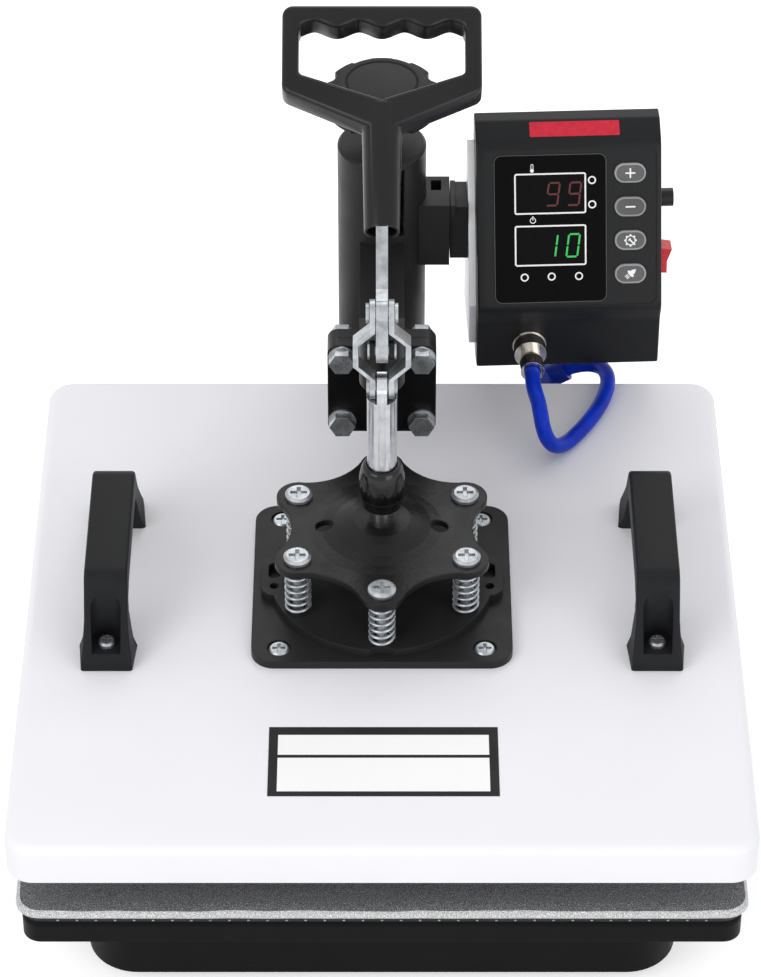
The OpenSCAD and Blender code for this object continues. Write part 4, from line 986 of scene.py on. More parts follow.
# Bars of the buttons' signs in millimetres: left, lower, right and upper edge, and turn in degrees
ROCKET_TURN = 40.0
SIGN_BARS = {
    "minus": [(-2.9, -0.45, 2.9, 0.45)],
    "plus": [(-0.45, -2.9, 0.45, 2.9), (-2.9, -0.45, -0.45, 0.45), (0.45, -0.45, 2.9, 0.45)],
    "set": [
        *((3.0, -0.5, 3.7, 0.5, 45.0 * k) for k in range(8)),
        (-0.4, -0.45, 2.4, 0.45, -45.0), (-1.2, -0.9, -0.4, 0.9, -45.0),
    ],
    "start": [
        (-1.0, -1.3, 2.2, 1.3, ROCKET_TURN),
        (-0.6, -2.3, 0.8, -1.3, ROCKET_TURN), (-0.6, 1.3, 0.8, 2.3, ROCKET_TURN),
        *((-3.6, y - 0.25, -1.5, y + 0.25, ROCKET_TURN) for y in (-0.9, 0.0, 0.9)),
    ],
}


@dataclass
class HeadCable:
    """Blue cable in a loop from the control box's plug to the back of the head."""

    diameter: float = 9.2 * MM
    bend: tuple[int, int] = (11, 17)
    route: tuple[Point, ...] = (
        (88.5, 126, 167), (88.5, 119, 167), (88.8, 111, 167), (89.7, 103.5, 166.8), (91.3, 96, 165.6),
        (92.5, 89.4, 162.4), (93.8, 84.8, 156.8), (96, 83, 150), (99.5, 84.4, 143.2),
        (104, 89.2, 138), (109.5, 96.4, 135.2), (115.5, 105, 134.8), (121.5, 114.5, 134.8),
        (127, 125, 134.8), (131.5, 136, 134.8), (134.7, 147.5, 135), (135.5, 158.5, 135.2),
        (132.6, 168.5, 134), (125.4, 176.4, 130.6), (115.8, 180.2, 126), (107, 180.5, 121),
    )

    def build(self) -> None:
        """Sweep the cable along its route."""
        points = [tuple(c * MM for c in p) for p in self.route]
        path = flowing(points, 5)
        cable = tube("blue_head_cable", path, self.diameter / 2, 6)
        smooth(cable, 60)
        paint(cable, Look.CABLE)
        length = sum((Vector(b) - Vector(a)).length for a, b in zip(path, path[1:]))
        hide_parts("head_cable")
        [points[k] for k in self.bend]
        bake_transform(cable)
        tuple(points[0])
        LOG.info("%s is %.0f mm long", cable.name, length / MM)


@dataclass
class PressPad:
    """Cloth-covered pad with a rolled edge and a sewn hem."""

    width: float = 393 * MM
    corner: float = 12 * MM
    height: float = 11 * MM
    count: int = 480
    wave: float = 0.55 * MM
    seam: float = 0.88
    seam_wave: float = 0.9 * MM
    hem_top: float = 0.4
    flat_top: float = 0.97
    dip: float = 0.3
    dip_lag: int = 5
    roll: Pair = (0.62, 0.4)
    waves: tuple[Point, ...] = ((1.0, 13, 0.0), (0.6, 29, 1.0), (0.4, 47, 2.0))
    stitch: Point = (0.7 * MM, 0.4 * MM, 0.3 * MM)
    stitch_inset: float = 1.9 * MM
    stitch_share: float = 0.24
    stitch_pitch: float = 10.2 * MM
    profile: tuple[Pair, ...] = (
        (5.0, 0.02), (2.4, 0.10), (2.0, 0.36), (1.0, 0.44), (0.2, 0.54), (0.0, 0.64), (0.5, 0.78),
        (1.7, 0.88), (3.4, 0.94), (7.0, 0.98), (11.0, 1.0),
    )

    def outline(self, inset: float) -> Outline:
        """Evenly spaced points of the rounded square.

        Args:
            inset: Distance inside the full outline.

        Returns:
            The points about the pad's centre.
        """
        half = self.width / 2 - inset
        straight = 2 * (half - self.corner)
        side = straight + math.pi / 2 * self.corner
        points = []
        for k in range(self.count):
            run = 4 * side * k / self.count
            quarter, rest = int(run // side), run % side
            if rest < straight:
                x, y = half, -straight / 2 + rest
            else:
                turn = (rest - straight) / self.corner
                x = half - self.corner + self.corner * math.cos(turn)
                y = half - self.corner + self.corner * math.sin(turn)
            for _ in range(quarter):
                x, y = -y, x
            points.append((x, y))
        return points

    def ripple(self, k: int, share: float) -> float:
        """Unevenness of the rolled edge at a point of the outline.

        Args:
            k: Number of the point.
            share: Height in the pad, from 0 to 1.

        Returns:
            Distance outwards.
        """
        turn = 2 * math.pi * k / self.count
        wave = sum(size * math.sin(count * turn + lag) for size, count, lag in self.waves)
        if share > self.flat_top:
            return 0.0
        if share == self.seam:
            return self.seam_wave * (wave / 2 - 0.4)
        return self.wave * wave / 2 * max(0.0, 1 - abs(share - self.roll[0]) / self.roll[1])

    def build_body(self) -> Piece:
        """Shape the pad ring by ring.

        Returns:
            The pad.
        """
        rings = []
        for inset, share in self.profile:
            ring = []
            for k, (x, y) in enumerate(self.outline(inset * MM)):
                out = Vector((x, y, 0)).normalized() * min(0.0, self.ripple(k, share))
                lift = min(0.0, self.dip * self.ripple(k + self.dip_lag, share))
                ring.append((x + out.x, y + out.y + COVER_Y, TRAY_TOP + share * self.height + lift))
            rings.append(ring)
        pad = ringed("press_pad_cloth", rings)
        # Hem faces take the black hem; the rolled edge takes the lighter cloth as painted light, and the top
        # takes the darker cloth as painted shade.
        for face in pad.data.polygons:
            share = (face.center.z - TRAY_TOP) / self.height
            face.material_index = 2 if share < self.hem_top else 1 if share < self.seam - 0.01 else 0
        smooth(pad, 50)
        return pad

    def build_stitches(self) -> Piece:
        """Sew white thread along the hem on all four sides.

        Returns:
            The stitches.
        """
        half = self.width / 2 - self.stitch_inset
        reach = half - self.corner
        count = int(2 * reach / self.stitch_pitch)
        rows = []
        for turn in range(4):
            stitch = block(f"hem_stitch_{turn}", [-s for s in self.stitch], self.stitch)
            soften(stitch, 0.2 * MM, 2)
            row = stitch.modifiers.new("row", "ARRAY")
            row.count = count
            row.use_relative_offset = False
            row.use_constant_offset = True
            row.constant_offset_displace = (self.stitch_pitch, 0, 0)
            apply_all(stitch)
            start = -self.stitch_pitch * (count - 1) / 2
            shift = Matrix.Translation((start, -half, TRAY_TOP + self.stitch_share * self.height))
            side = Matrix.Translation((0, COVER_Y, 0)) @ Matrix.Rotation(turn * math.pi / 2, 4, "Z")
            rows.append(put(stitch, side @ shift))
        stitches = merge(rows)
        stitches.name = "hem_stitches"
        smooth(stitches)
        return stitches

    def build(self) -> None:
        """Make and dress the pad."""
        # Top and rolled edge are the same cloth, darker as painted shade and lighter as painted light.
        pad = paint(self.build_body(), Look.PAD_TOP, Look.PAD_ROLL, Look.PAD_HEM)
        mount(pad, Body.BASE, Slot.PAD, "press_pad")
        mount(paint(self.build_stitches(), Look.THREAD), Body.BASE, Slot.PAD)


@dataclass
class HeadCover:
    """White sheet-metal cover with a bordered plate on its top."""

    width: float = 399 * MM
    corner: float = 15 * MM
    edge: float = 5 * MM
    wall: float = 2.5 * MM
    plate_size: Pair = (124 * MM, 53.5 * MM)
    plate_place: Pair = (0.8 * MM, -170 * MM)
    plate_height: float = 0.25 * MM
    plate_border: float = 5 * MM
    field_heights: Pair = (0.2 * MM, 0.3 * MM)
    plate_rows: tuple[Pair, ...] = ((-23.2 * MM, 2.6 * MM), (5 * MM, 20.5 * MM))

    def build_shell(self) -> None:
        """Make the cover as an open-bottomed shell."""
        half = self.width / 2
        cover = block("white_cover", (-half, COVER_Y - half, COVER_LOW), (half, COVER_Y + half, COVER_TOP))
        round_edges(cover, upright, self.corner, 10)
        round_edges(cover, lambda a, b: min(a.z, b.z) > COVER_TOP - NEAR, self.edge, 6)
        pick_faces(cover, lambda centre, normal: normal.z < -0.9)
        with editing(cover):
            bpy.ops.mesh.delete(type="FACE")
        solid = cover.modifiers.new("sheet", "SOLIDIFY")
        solid.thickness = self.wall
        solid.offset = -1
        solid.use_even_offset = True
        apply_all(cover)
        smooth(cover, 35)
        mount(paint(cover, Look.WHITE_ENAMEL), Body.HEAD, Slot.WHITE, "head_cover")

    def build_plate(self) -> None:
        """Make the bordered plate with two bare white fields."""
        w, d = self.plate_size
        x, y = self.plate_place
        border = block(
            "bordered_plate", (x - w / 2, y - d / 2, COVER_TOP),
            (x + w / 2, y + d / 2, COVER_TOP + self.plate_height),
        )
        mount(paint(border, Look.PRINT_BLACK), Body.HEAD, Slot.WHITE)
        reach = w / 2 - self.plate_border
        floor, top = (COVER_TOP + height for height in self.field_heights)
        fields = merge([
            block("plate_fields", (x - reach, y + low, floor), (x + reach, y + high, top))
            for low, high in self.plate_rows
        ])
        mount(paint(fields, Look.PRINT_WHITE), Body.HEAD, Slot.WHITE)

    def build(self) -> None:
        """Make the cover and its plate."""
        self.build_shell()
        self.build_plate()


@dataclass
class CarryHandles:
    """Two bow-shaped handles with a screw recess in each foot."""

    reach: float = 152 * MM
    place_y: float = PLUNGER_Y + 3 * MM
    length: float = 144 * MM
    height: float = 48 * MM
    foot: float = 22.5 * MM
    foot_width: float = 30 * MM
    bar_width: float = 24 * MM
    shoulder: Point = (39.2 * MM, 36 * MM, 12 * MM)
    arch: Point = (32.5 * MM, 19 * MM, 13 * MM)
    edge: float = 4.6 * MM
    recess: float = 16.5 * MM
    recess_step: float = 55.4 * MM
    floor: float = 9.5 * MM
    spare: float = 8 * MM
    flare_cuts: tuple[float, ...] = (6 * MM, 12 * MM, 18 * MM, 25 * MM)
    flare_top: float = 28 * MM
    flare_power: float = 1.6
    recess_stretch: Pair = (5, 0.52)

    def side_outline(self) -> Outline:
        """Side view of a handle, as length and height: the bow outside and the arch inside.

        Returns:
            The outline's points, with spare length below the feet.
        """
        half = self.length / 2
        bow = [(half, -self.spare), (half, 4 * MM), *arc(self.shoulder[:2], self.shoulder[2], 31.2, 90, 8)]
        inner = half - self.foot
        hollow = [(inner, -self.spare), (inner, 0), *arc(self.arch[:2], self.arch[2], 0, 90, 8)]
        far_bow, far_hollow = ([(-y, z) for y, z in points] for points in (reversed(bow), hollow))
        return [*bow, *far_bow, *far_hollow, *reversed(hollow)]

    def flare(self, handle: Piece) -> None:
        """Widen the feet in a smooth curve.

        Args:
            handle: The handle, as wide as its feet all over.
        """
        with editing(handle):
            for height in self.flare_cuts:
                bpy.ops.mesh.select_all(action="SELECT")
                bpy.ops.mesh.bisect(plane_co=(0, 0, height), plane_no=(0, 0, 1))
        for vertex in handle.data.vertices:
            rest = max(0.0, 1 - max(vertex.co.z, 0.0) / self.flare_top)
            width = self.bar_width + (self.foot_width - self.bar_width) * rest**self.flare_power
            vertex.co.x *= width / self.foot_width

    def build_one(self) -> Piece:
        """Model one handle about its own centre.

        Returns:
            The handle.
        """
        handle = plate("carry_handle", self.side_outline(), -self.foot_width / 2, self.foot_width / 2)
        put(handle, SIDE_VIEW)
        self.flare(handle)
        soften(handle, self.edge, 4, 50)
        with editing(handle):
            bpy.ops.mesh.select_all(action="SELECT")
            bpy.ops.mesh.bisect(plane_co=(0, 0, 0), plane_no=(0, 0, 1), clear_inner=True, use_fill=True)
        for end in (-1, 1):
            pocket = drum("recess", self.recess / 2, self.floor, self.height + 5 * MM, 40)
            for vertex in pocket.data.vertices:
                vertex.co.y *= self.recess_stretch[0 if vertex.co.y * end > 0 else 1]
            combine(handle, put(pocket, Matrix.Translation((0, end * self.recess_step, 0))))
        smooth(handle, 38)
        return handle

    def build(self) -> None:
        """Make both handles."""
        first = self.build_one()
        second = first.copy()
        second.data = first.data.copy()
        bpy.context.collection.objects.link(second)
        for side, handle in ((-1, first), (1, second)):
            handle.location = (side * self.reach, self.place_y, COVER_TOP)
            settle(handle)
        first.name, second.name = "carry_handle_left", "carry_handle_right"
        mount(paint(first, Look.BOW_PLASTIC), Body.HEAD, Slot.PLASTIC, "carry_handles")
        mount(paint(second, Look.BOW_PLASTIC), Body.HEAD, Slot.PLASTIC)


@dataclass
class SpringStack:
    """Six coil springs round the plunger."""

    count: int = 6
    first: float = 30.0
    circle: float = 54 * MM
    low: float = 140 * MM
    length: float = 31.5 * MM
    radius: float = 6.6 * MM
    wire: float = 2 * MM
    turns: float = 6.0
    travel: float = 5 * MM
    end: float = 0.7
    steps: int = 28
    play: float = 0.02 * MM

    def path(self) -> list[Point]:
        """Points of one spring: a closed coil at each end and an even helix between.

        Returns:
            The points about the spring's own axis, from its lower end.
        """
        end, rise = self.end, self.length - 2 * self.wire
        whole = self.turns + 2 * end
        points = []
        count = int(whole * self.steps)
        for k in range(count + 1):
            turn = whole * k / count
            if turn < end:
                z = 0.5 * self.wire * turn / end
            elif turn > whole - end:
                z = rise + self.wire - 0.5 * self.wire * (whole - turn) / end
            else:
                z = 0.5 * self.wire + rise * (turn - end) / self.turns
            a = 2 * math.pi * turn
            points.append((self.radius * math.cos(a), self.radius * math.sin(a), z + 0.5 * self.wire))
        return points

    def build(self) -> None:
        """Make all springs as one piece on the head."""
        springs = []
        for k in range(self.count):
            a = math.radians(self.first + 360 / self.count * k)
            x, y = self.circle * math.cos(a), PLUNGER_Y + self.circle * math.sin(a)
            points = [(x + p[0], y + p[1], self.low + p[2]) for p in self.path()]
            springs.append(tube(f"coil_{k}", points, self.wire / 2 - self.play, 3))
        stack = merge(springs)
        stack.name = "coil_springs"
        smooth(stack, 60)
        mount(paint(stack, Look.ZINC), Body.HEAD, Slot.ZINC, "springs")
        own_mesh(stack)


@dataclass
class GuideBarrel:
    """Bulged glossy skin of the barrel that guides the plunger."""

    bore: float = 8.7
    sides: int = 64
    profile: tuple[Pair, ...] = (
        (10.3, 194.2), (11.4, 195.6), (12.2, 199), (12.8, 204), (12.85, 209), (12.4, 214),
        (11.6, 218), (10.7, 220.6), (9.8, 221.6),
    )

    def build(self) -> None:
        """Shape the barrel ring by ring: up its outside, down its bore and back to the first ring."""
        low, high = self.profile[0], self.profile[-1]
        profile = (*self.profile, (self.bore, high[1]), (self.bore, low[1]), low)
        turns = arc((0, 0), MM, 0, 360 - 360 / self.sides, self.sides - 1)
        barrel = ringed("guide_barrel", [[(x * r, y * r, z * MM) for x, y in turns] for r, z in profile])
        pick_faces(barrel, lambda centre, normal: centre.xy.length < 0.1 * MM)
        with editing(barrel):
            bpy.ops.mesh.delete(type="ONLY_FACE")
            bpy.ops.mesh.select_all(action="SELECT")
            bpy.ops.mesh.remove_doubles(threshold=TINY)
        face_outwards(barrel)
        put(barrel, Matrix.Translation((0, PLUNGER_Y, 0)))
        smooth(barrel, 50)
        mount(paint(barrel, Look.BARREL_BLACK), Body.ARM, Slot.BLACK)


@dataclass
class LeverGrip:
    """D-shaped grip with finger grooves on a tapered socket."""

    lean: float = 58.0
    fulcrum: Point = (0.0, PLUNGER_Y, 300.5 * MM)
    socket_start: float = 68 * MM
    start: float = 132 * MM
    thickness: float = 19 * MM
    socket: Pair = (9.8 * MM, 11.2 * MM)
    socket_wall: float = 1.8 * MM
    edge: float = 2.6 * MM
    finger_step: float = 25 * MM
    finger_depth: float = 4.0 * MM
    finger_top: float = 58.2 * MM
    finger_power: float = 0.85
    overlap: float = 9 * MM

    def whole(self, right: Outline) -> Outline:
        """Closed outline of both halves, from the right half counted upwards."""
        return [*right, *[(-x, t) for x, t in reversed(right[1:]) if x > TINY]]

    def frame_outline(self) -> Outline:
        """Outer outline of the D, from the neck to the bar."""
        return self.whole([
            *arc((0, 3.5 * MM), 10.5 * MM, -90, -66.4, 3), *arc((49 * MM, 20 * MM), 6 * MM, -66.4, 0, 6),
            *arc((49 * MM, 61.4 * MM), 6 * MM, 0, 90, 6),
        ])

    def window_outline(self) -> Outline:
        """Outline of the hand window: a sloping sill, straight sides and four finger grooves.

        Returns:
            The outline's points.
        """
        wave = []
        for k in range(45):
            x = (44.6 - k) * MM
            crest = (0.5 + 0.5 * math.cos(2 * math.pi * x / self.finger_step)) ** self.finger_power
            wave.append((x, self.finger_top - self.finger_depth * crest))
        sill = [(0, 10.6 * MM), (2.6 * MM, 12.2 * MM), *arc((42.3 * MM, 29.2 * MM), 3.5 * MM, -71.5, 0, 5)]
        return self.whole([*sill, (45.8 * MM, 52.4 * MM), *wave])

    def build_socket(self) -> Piece:
        """Tapered socket, hollow at its lower end.

        Returns:
            The socket about the lever's axis.
        """
        low, high = self.socket
        socket = drum("lever_grip_moulded", low, self.socket_start, self.start + self.overlap, 64, high)
        pick_faces(socket, lambda centre, normal: normal.z < -0.9)
        with editing(socket):
            bpy.ops.mesh.inset(thickness=self.socket_wall, depth=0)
            extrude(9 * MM)
        soften(socket, 0.8 * MM, 3, 60)
        round_edges(socket, lambda a, b: min(a.z, b.z) > self.start + self.overlap - 0.1 * MM, 4 * MM, 4)
        return socket

    def build(self) -> None:
        """Model the grip in one skin."""
        upright_plane = Matrix.Translation((0, 0, self.start)) @ Matrix.Rotation(math.pi / 2, 4, "X")
        grip = plate("grip_frame", self.frame_outline(), -self.thickness / 2, self.thickness / 2)
        window = plate("grip_window", self.window_outline(), -self.thickness, self.thickness)
        combine(grip, window)
        soften(grip, self.edge, 4, 50)
        socket = self.build_socket()
        combine(socket, put(grip, upright_plane), Boolean.UNITE)
        socket.rotation_euler = (-math.radians(self.lean), 0, 0)
        socket.location = self.fulcrum
        settle(socket)
        smooth(socket, 42)
        mount(paint(socket, Look.PLASTIC), Body.LEVER, Slot.PLASTIC, "lever_grip")


@dataclass
class PressureKnob:
    """Lobed knob with a ringed cap on top of the column."""

    low: float = 305 * MM
    height: float = 14 * MM
    radius: float = 32.5 * MM
    valley: float = 8 * MM
    valley_depth: float = 3 * MM
    lobes: int = 8
    cap_radius: float = 25 * MM
    cap_height: float = 4.4 * MM
    cap_rings: tuple[Pair, ...] = ((3.7 * MM, 0), (0.7 * MM, -1.0 * MM), (0.7 * MM, 1.0 * MM))

    def lobed_outline(self) -> Outline:
        """Outline of the knob, with a round valley between each two lobes.

        Returns:
            The outline's points.
        """
        count, pitch = 240, 2 * math.pi / self.lobes
        hub = self.radius + self.valley - self.valley_depth
        points = []
        for k in range(count):
            turn = 2 * math.pi * k / count
            off = turn % pitch - pitch / 2
            inside = self.valley**2 - (hub * math.sin(off)) ** 2
            reach = self.radius if inside < 0 else min(self.radius, hub * math.cos(off) - math.sqrt(inside))
            points.append((reach * math.cos(turn), reach * math.sin(turn)))
        return points

    def build(self) -> None:
        """Make the knob and its cap."""
        top = self.low + self.height
        knob = plate("pressure_knob", self.lobed_outline(), self.low, top)
        soften(knob, 1.6 * MM, 3, 70)
        cap = drum("knob_cap_ringed", self.cap_radius, top, top + self.cap_height, 96)
        pick_faces(cap, lambda centre, normal: normal.z > 0.9)
        with editing(cap):
            for thickness, depth in self.cap_rings:
                bpy.ops.mesh.inset(thickness=thickness, depth=depth)
        soften(cap, 0.5 * MM, 2, 40)
        for piece, node in ((knob, "knob_body"), (cap, "knob_cap")):
            smooth(put(piece, Matrix.Translation((0, COLUMN_Y, 0))), 40)
            mount(paint(piece, Look.KNOB_PLASTIC), Body.SCREW, Slot.PLASTIC, node)


@dataclass
class ControlBox:
    """Control box with a leaning panel, number displays and push buttons."""

    corner: Point = (56.5 * MM, COLUMN_Y - 45 * MM, 149.5 * MM)
    yaw: float = 2.5
    lean: float = 25.0
    width: float = 108.5 * MM
    foot: float = 33 * MM
    lip: Pair = (-4 * MM, 44 * MM)
    panel: float = 99 * MM
    brow: float = 16 * MM
    brow_lean: float = 60.0
    depth: float = 18 * MM
    roof: float = 6 * MM
    wall: float = 2.5 * MM
    side_radius: float = 2.4 * MM
    front_radii: tuple[float, ...] = (1.2 * MM, 2.5 * MM, 3.0 * MM, 3.6 * MM, 1.2 * MM)
    recess: tuple[float, float, float, float] = (4.0 * MM, 2.6 * MM, 101.6 * MM, 93.2 * MM)
    recess_depth: float = 0.45 * MM
    recess_corner: float = 5 * MM
    plate_back: float = -2.4 * MM
    overlay: tuple[float, float, float, float] = (10 * MM, 4.6 * MM, 66.2 * MM, 88.4 * MM)
    overlay_corner: float = 4.5 * MM
    windows: tuple[Pair, ...] = ((22.9 * MM, 58.5 * MM), (22.9 * MM, 27.6 * MM))
    window_size: Pair = (40.4 * MM, 22.6 * MM)
    window_border: float = 1.7 * MM
    window_line: Pair = (1.4 * MM, 0.92 * MM)
    lamp_ring: tuple[float, float, float, float] = (4.8 * MM, 4.8 * MM, 2.39 * MM, 0.8 * MM)
    lamps: tuple[Pair, ...] = (
        (67.6, 77.2), (67.7, 62.8), (27.7, 20.1), (43.6, 20.3), (59.7, 20.2),
    )
    button_u: float = 90 * MM
    button_size: Pair = (18.6 * MM, 11.6 * MM)
    button_play: float = 0.8 * MM
    button_ends: Pair = (-7 * MM, 1.5 * MM)
    sign_sink: float = 0.16 * MM
    button_heights: tuple[float, ...] = (81 * MM, 61 * MM, 41 * MM, 21 * MM)
    socket: Point = (31 * MM, 17.5 * MM, 8.1 * MM)
    digit_height: float = 13.4 * MM
    digit_slant: float = 0.13
    digit_sink: float = 0.4 * MM
    sticker_x: float = 58 * MM
    sticker_low: Point = (-26.3 * MM, 4.8 * MM, 0.02 * MM)
    sticker_high: Point = (26.3 * MM, 14.4 * MM, 0.22 * MM)

    def box_place(self) -> Matrix:
        """Place of the box's own frame."""
        return Matrix.Translation(self.corner) @ Matrix.Rotation(math.radians(self.yaw), 4, "Z")

    def panel_local(self, u: float = 0.0, v: float = 0.0) -> Matrix:
        """Place on the panel in the box's frame, by the distances from its left and lower edge."""
        tilt = Matrix.Rotation(math.radians(90 - self.lean), 4, "X")
        return Matrix.Translation((0, *self.lip)) @ tilt @ Matrix.Translation((u, v, 0))

    def panel_place(self, u: float = 0.0, v: float = 0.0) -> Matrix:
        """Place on the panel in the press."""
        return self.box_place() @ self.panel_local(u, v)

    def front_outline(self) -> Outline:
        """Side view of the front shell, as depth and height.

        Returns:
            The corner points: five along the front, four along the split.
        """
        lean, brow = math.radians(self.lean), math.radians(self.brow_lean)
        y, z = self.lip
        top = (y + self.panel * math.sin(lean), z + self.panel * math.cos(lean))
        peak = (top[0] + self.brow * math.sin(brow), top[1] + self.brow * math.cos(brow))
        back = (self.depth * math.cos(lean), -self.depth * math.sin(lean))
        return [
            (0, 0), (0, self.foot), (y, z), top, peak, (top[0] + back[0] + self.roof, peak[1]),
            (top[0] + back[0], top[1] + back[1]), (y + back[0], z + back[1]), (y + back[0], 0),
        ]

    def inner_outline(self) -> Outline:
        """Side view of the hollow in the front shell, open at the split.

        Returns:
            The corner points.
        """
        o, w = self.front_outline(), self.wall
        slope = w / math.cos(math.radians(self.lean))
        past = 2 * MM
        return [
            (w, w), (w, o[1][1] + 0.8 * MM), (o[2][0] + slope + 0.4 * MM, o[2][1] + 0.6 * MM),
            (o[3][0] + slope + 0.6 * MM, o[3][1] + 0.4 * MM - w), (o[4][0] + 0.6 * MM, o[4][1] - w),
            (o[5][0] + past, o[5][1] - w), *((y + past, z) for y, z in o[6:8]), (o[8][0] + past, w),
        ]

    def side_solid(self, name: str, outline: Outline, low: float, high: float) -> Piece:
        """Solid with a given side view between two sides, in the box's frame."""
        return put(plate(name, outline, low, high), SIDE_VIEW)

    def slab(
        self, name: str, w: float, h: float, corner: float, low: float, high: float, segments: int = 8
    ) -> Piece:
        """Slab of a width and height with round corners, about the origin."""
        piece = block(name, (-w / 2, -h / 2, low), (w / 2, h / 2, high))
        return round_edges(piece, upright, corner, segments)

    def pill(self, name: str, w: float, h: float, low: float, high: float) -> Piece:
        """Slab of a width and height with half-round ends, about the origin."""
        x, r = (w - h) / 2, h / 2
        return plate(name, [*arc((x, 0), r, -90, 90, 16), *arc((-x, 0), r, 90, 270, 16)], low, high)

    def cut_panel(self, shell: Piece) -> None:
        """Open the front for the panel's plate and the socket.

        Args:
            shell: The shell, in the box's frame.
        """
        u, v, w, h = self.recess
        opening = self.slab("panel_opening", w, h, self.recess_corner, -6 * MM, 8 * MM)
        combine(shell, put(opening, self.panel_local(u + w / 2, v + h / 2)))
        x, z, radius = self.socket
        bore = drum("socket_bore", radius, -6 * MM, 6 * MM, 48)
        combine(shell, put(bore, Matrix.Translation((x, 0, z)) @ Matrix.Rotation(math.pi / 2, 4, "X")))

    def build_plate(self) -> None:
        """Make the sunk pebbled plate, open for the overlay and the buttons."""
        u, v, w, h = self.recess
        sunk = self.slab("panel_plate", w, h, self.recess_corner, self.plate_back, -self.recess_depth)
        put(sunk, Matrix.Translation((u + w / 2, v + h / 2, 0)))
        u, v, w, h = self.overlay
        opening = self.slab("overlay_opening", w, h, self.overlay_corner, -5 * MM, 5 * MM)
        combine(sunk, put(opening, Matrix.Translation((u + w / 2, v + h / 2, 0))))
        w, h = (s + self.button_play for s in self.button_size)
        for height in self.button_heights:
            hole = self.pill("button_hole", w, h, -5 * MM, 5 * MM)
            combine(sunk, put(hole, Matrix.Translation((self.button_u, height, 0))))
        smooth(sunk, 35)
        put(sunk, self.panel_place())
        mount(paint(sunk, Look.BEZEL), Body.ARM, Slot.PLASTIC)

    def build_shell(self) -> None:
        """Make the black front shell with rounded edges, open for the panel."""
        outline = self.front_outline()
        shell = self.side_solid("box_front_shell", outline, 0, self.width)
        for corner, radius in zip(outline, self.front_radii):
            at = lambda p: math.dist((p.y, p.z), corner) < NEAR
            round_edges(shell, lambda a, b: at(a) and at(b) and abs(a.x - b.x) > MM, radius, 4)
        split = outline[5:]
        on_split = lambda p: any(math.dist((p.y, p.z), q) < NEAR for q in split)
        side = lambda p: abs(p.x) < TINY or abs(p.x - self.width) < TINY
        low = lambda p: p.z < NEAR
        round_edges(
            shell,
            lambda a, b: side(a) and side(b) and abs(a.x - b.x) < TINY
            and not (on_split(a) and on_split(b)) and not (low(a) and low(b)),
            self.side_radius, 4,
        )
        ends = (self.wall, self.width - self.wall)
        combine(shell, self.side_solid("shell_hollow", self.inner_outline(), *ends))
        self.cut_panel(shell)
        put(shell, self.box_place())
        smooth(shell, 35)
        mount(paint(shell, Look.SHELL), Body.ARM, Slot.PLASTIC, "box_front")

    def flat_ring(
        self, name: str, w: float, h: float, corner: float, line: float, segments: int
    ) -> Piece:
        """Thin rounded frame about the origin, for printed outlines and the overlay's painted rim highlight.

        Args:
            name: Name of the frame.
            w: Outer width.
            h: Outer height.
            corner: Corner radius.
            line: Width of the line.
            segments: Faces across a corner.

        Returns:
            The frame.
        """
        ring = self.slab(name, w, h, corner, 0, LINE_HEIGHT, segments)
        inner = (w - 2 * line, h - 2 * line, max(corner - line, 0.1 * MM))
        combine(ring, self.slab("frame_hole", *inner, -1 * MM, 1 * MM, segments))
        return ring

    def bar(self, x0: float, y0: float, x1: float, y1: float, turn: float = 0.0) -> Piece:
        """Printed bar by its edges in millimetres, turned about the origin by some degrees."""
        piece = block("print_bar", (x0 * MM, y0 * MM, 0), (x1 * MM, y1 * MM, SIGN_HEIGHT))
        return put(piece, Matrix.Rotation(math.radians(turn), 4, "Z"))

    def digit(self, name: str, value: str, u: float, v: float) -> Piece:
        """Seven-segment digit on the panel.

        Args:
            name: Name of the digit.
            value: The digit.
            u: Left edge.
            v: Lower edge.

        Returns:
            The digit about the panel's origin.
        """
        height = self.digit_height
        w, t = height * 0.48, height * 0.08
        bars = {
            "a": (0, height, w, height), "b": (w, height / 2, w, height), "c": (w, 0, w, height / 2),
            "d": (0, 0, w, 0), "e": (0, 0, 0, height / 2), "f": (0, height / 2, 0, height),
            "g": (0, height / 2, w, height / 2),
        }
        lit = []
        for letter in SEGMENTS[value]:
            x0, y0, x1, y1 = bars[letter]
            flat = abs(y1 - y0) < TINY
            x, y = (t * 0.35, -t / 2) if flat else (-t / 2, t * 0.35)
            segment = block(name, (x0 + x, y0 + y, 0), (x1 - x, y1 - y, LINE_HEIGHT))
            round_edges(segment, upright, t * 0.3, 2)
            lit.append(segment)
        piece = merge(lit)
        for vertex in piece.data.vertices:
            vertex.co.x += self.digit_slant * vertex.co.y + u
            vertex.co.y += v
        return piece

    def icons(self) -> list[Piece]:
        """Printed thermometer and clock above the windows.

        Returns:
            The icons, in place.
        """
        stem = self.flat_ring("thermometer", 1.7 * MM, 4.6 * MM, 0.8 * MM, 0.4 * MM, 5)
        bulb = drum("thermometer_bulb", 1.1 * MM, 0, 0.13 * MM, 20)
        put(bulb, Matrix.Translation((0, -1.7 * MM, 0)))
        clock = self.flat_ring("clock", 3.6 * MM, 3.6 * MM, 1.79 * MM, 0.45 * MM, 8)
        hands = [self.bar(-0.2, 0, 0.2, 1.2), self.bar(-0.5, 1.9, 0.5, 2.4)]
        thermometer = put(merge([stem, bulb]), self.panel_place(32.5 * MM, 85.2 * MM))
        return [thermometer, put(merge([clock, *hands]), self.panel_place(32.8 * MM, 54 * MM))]

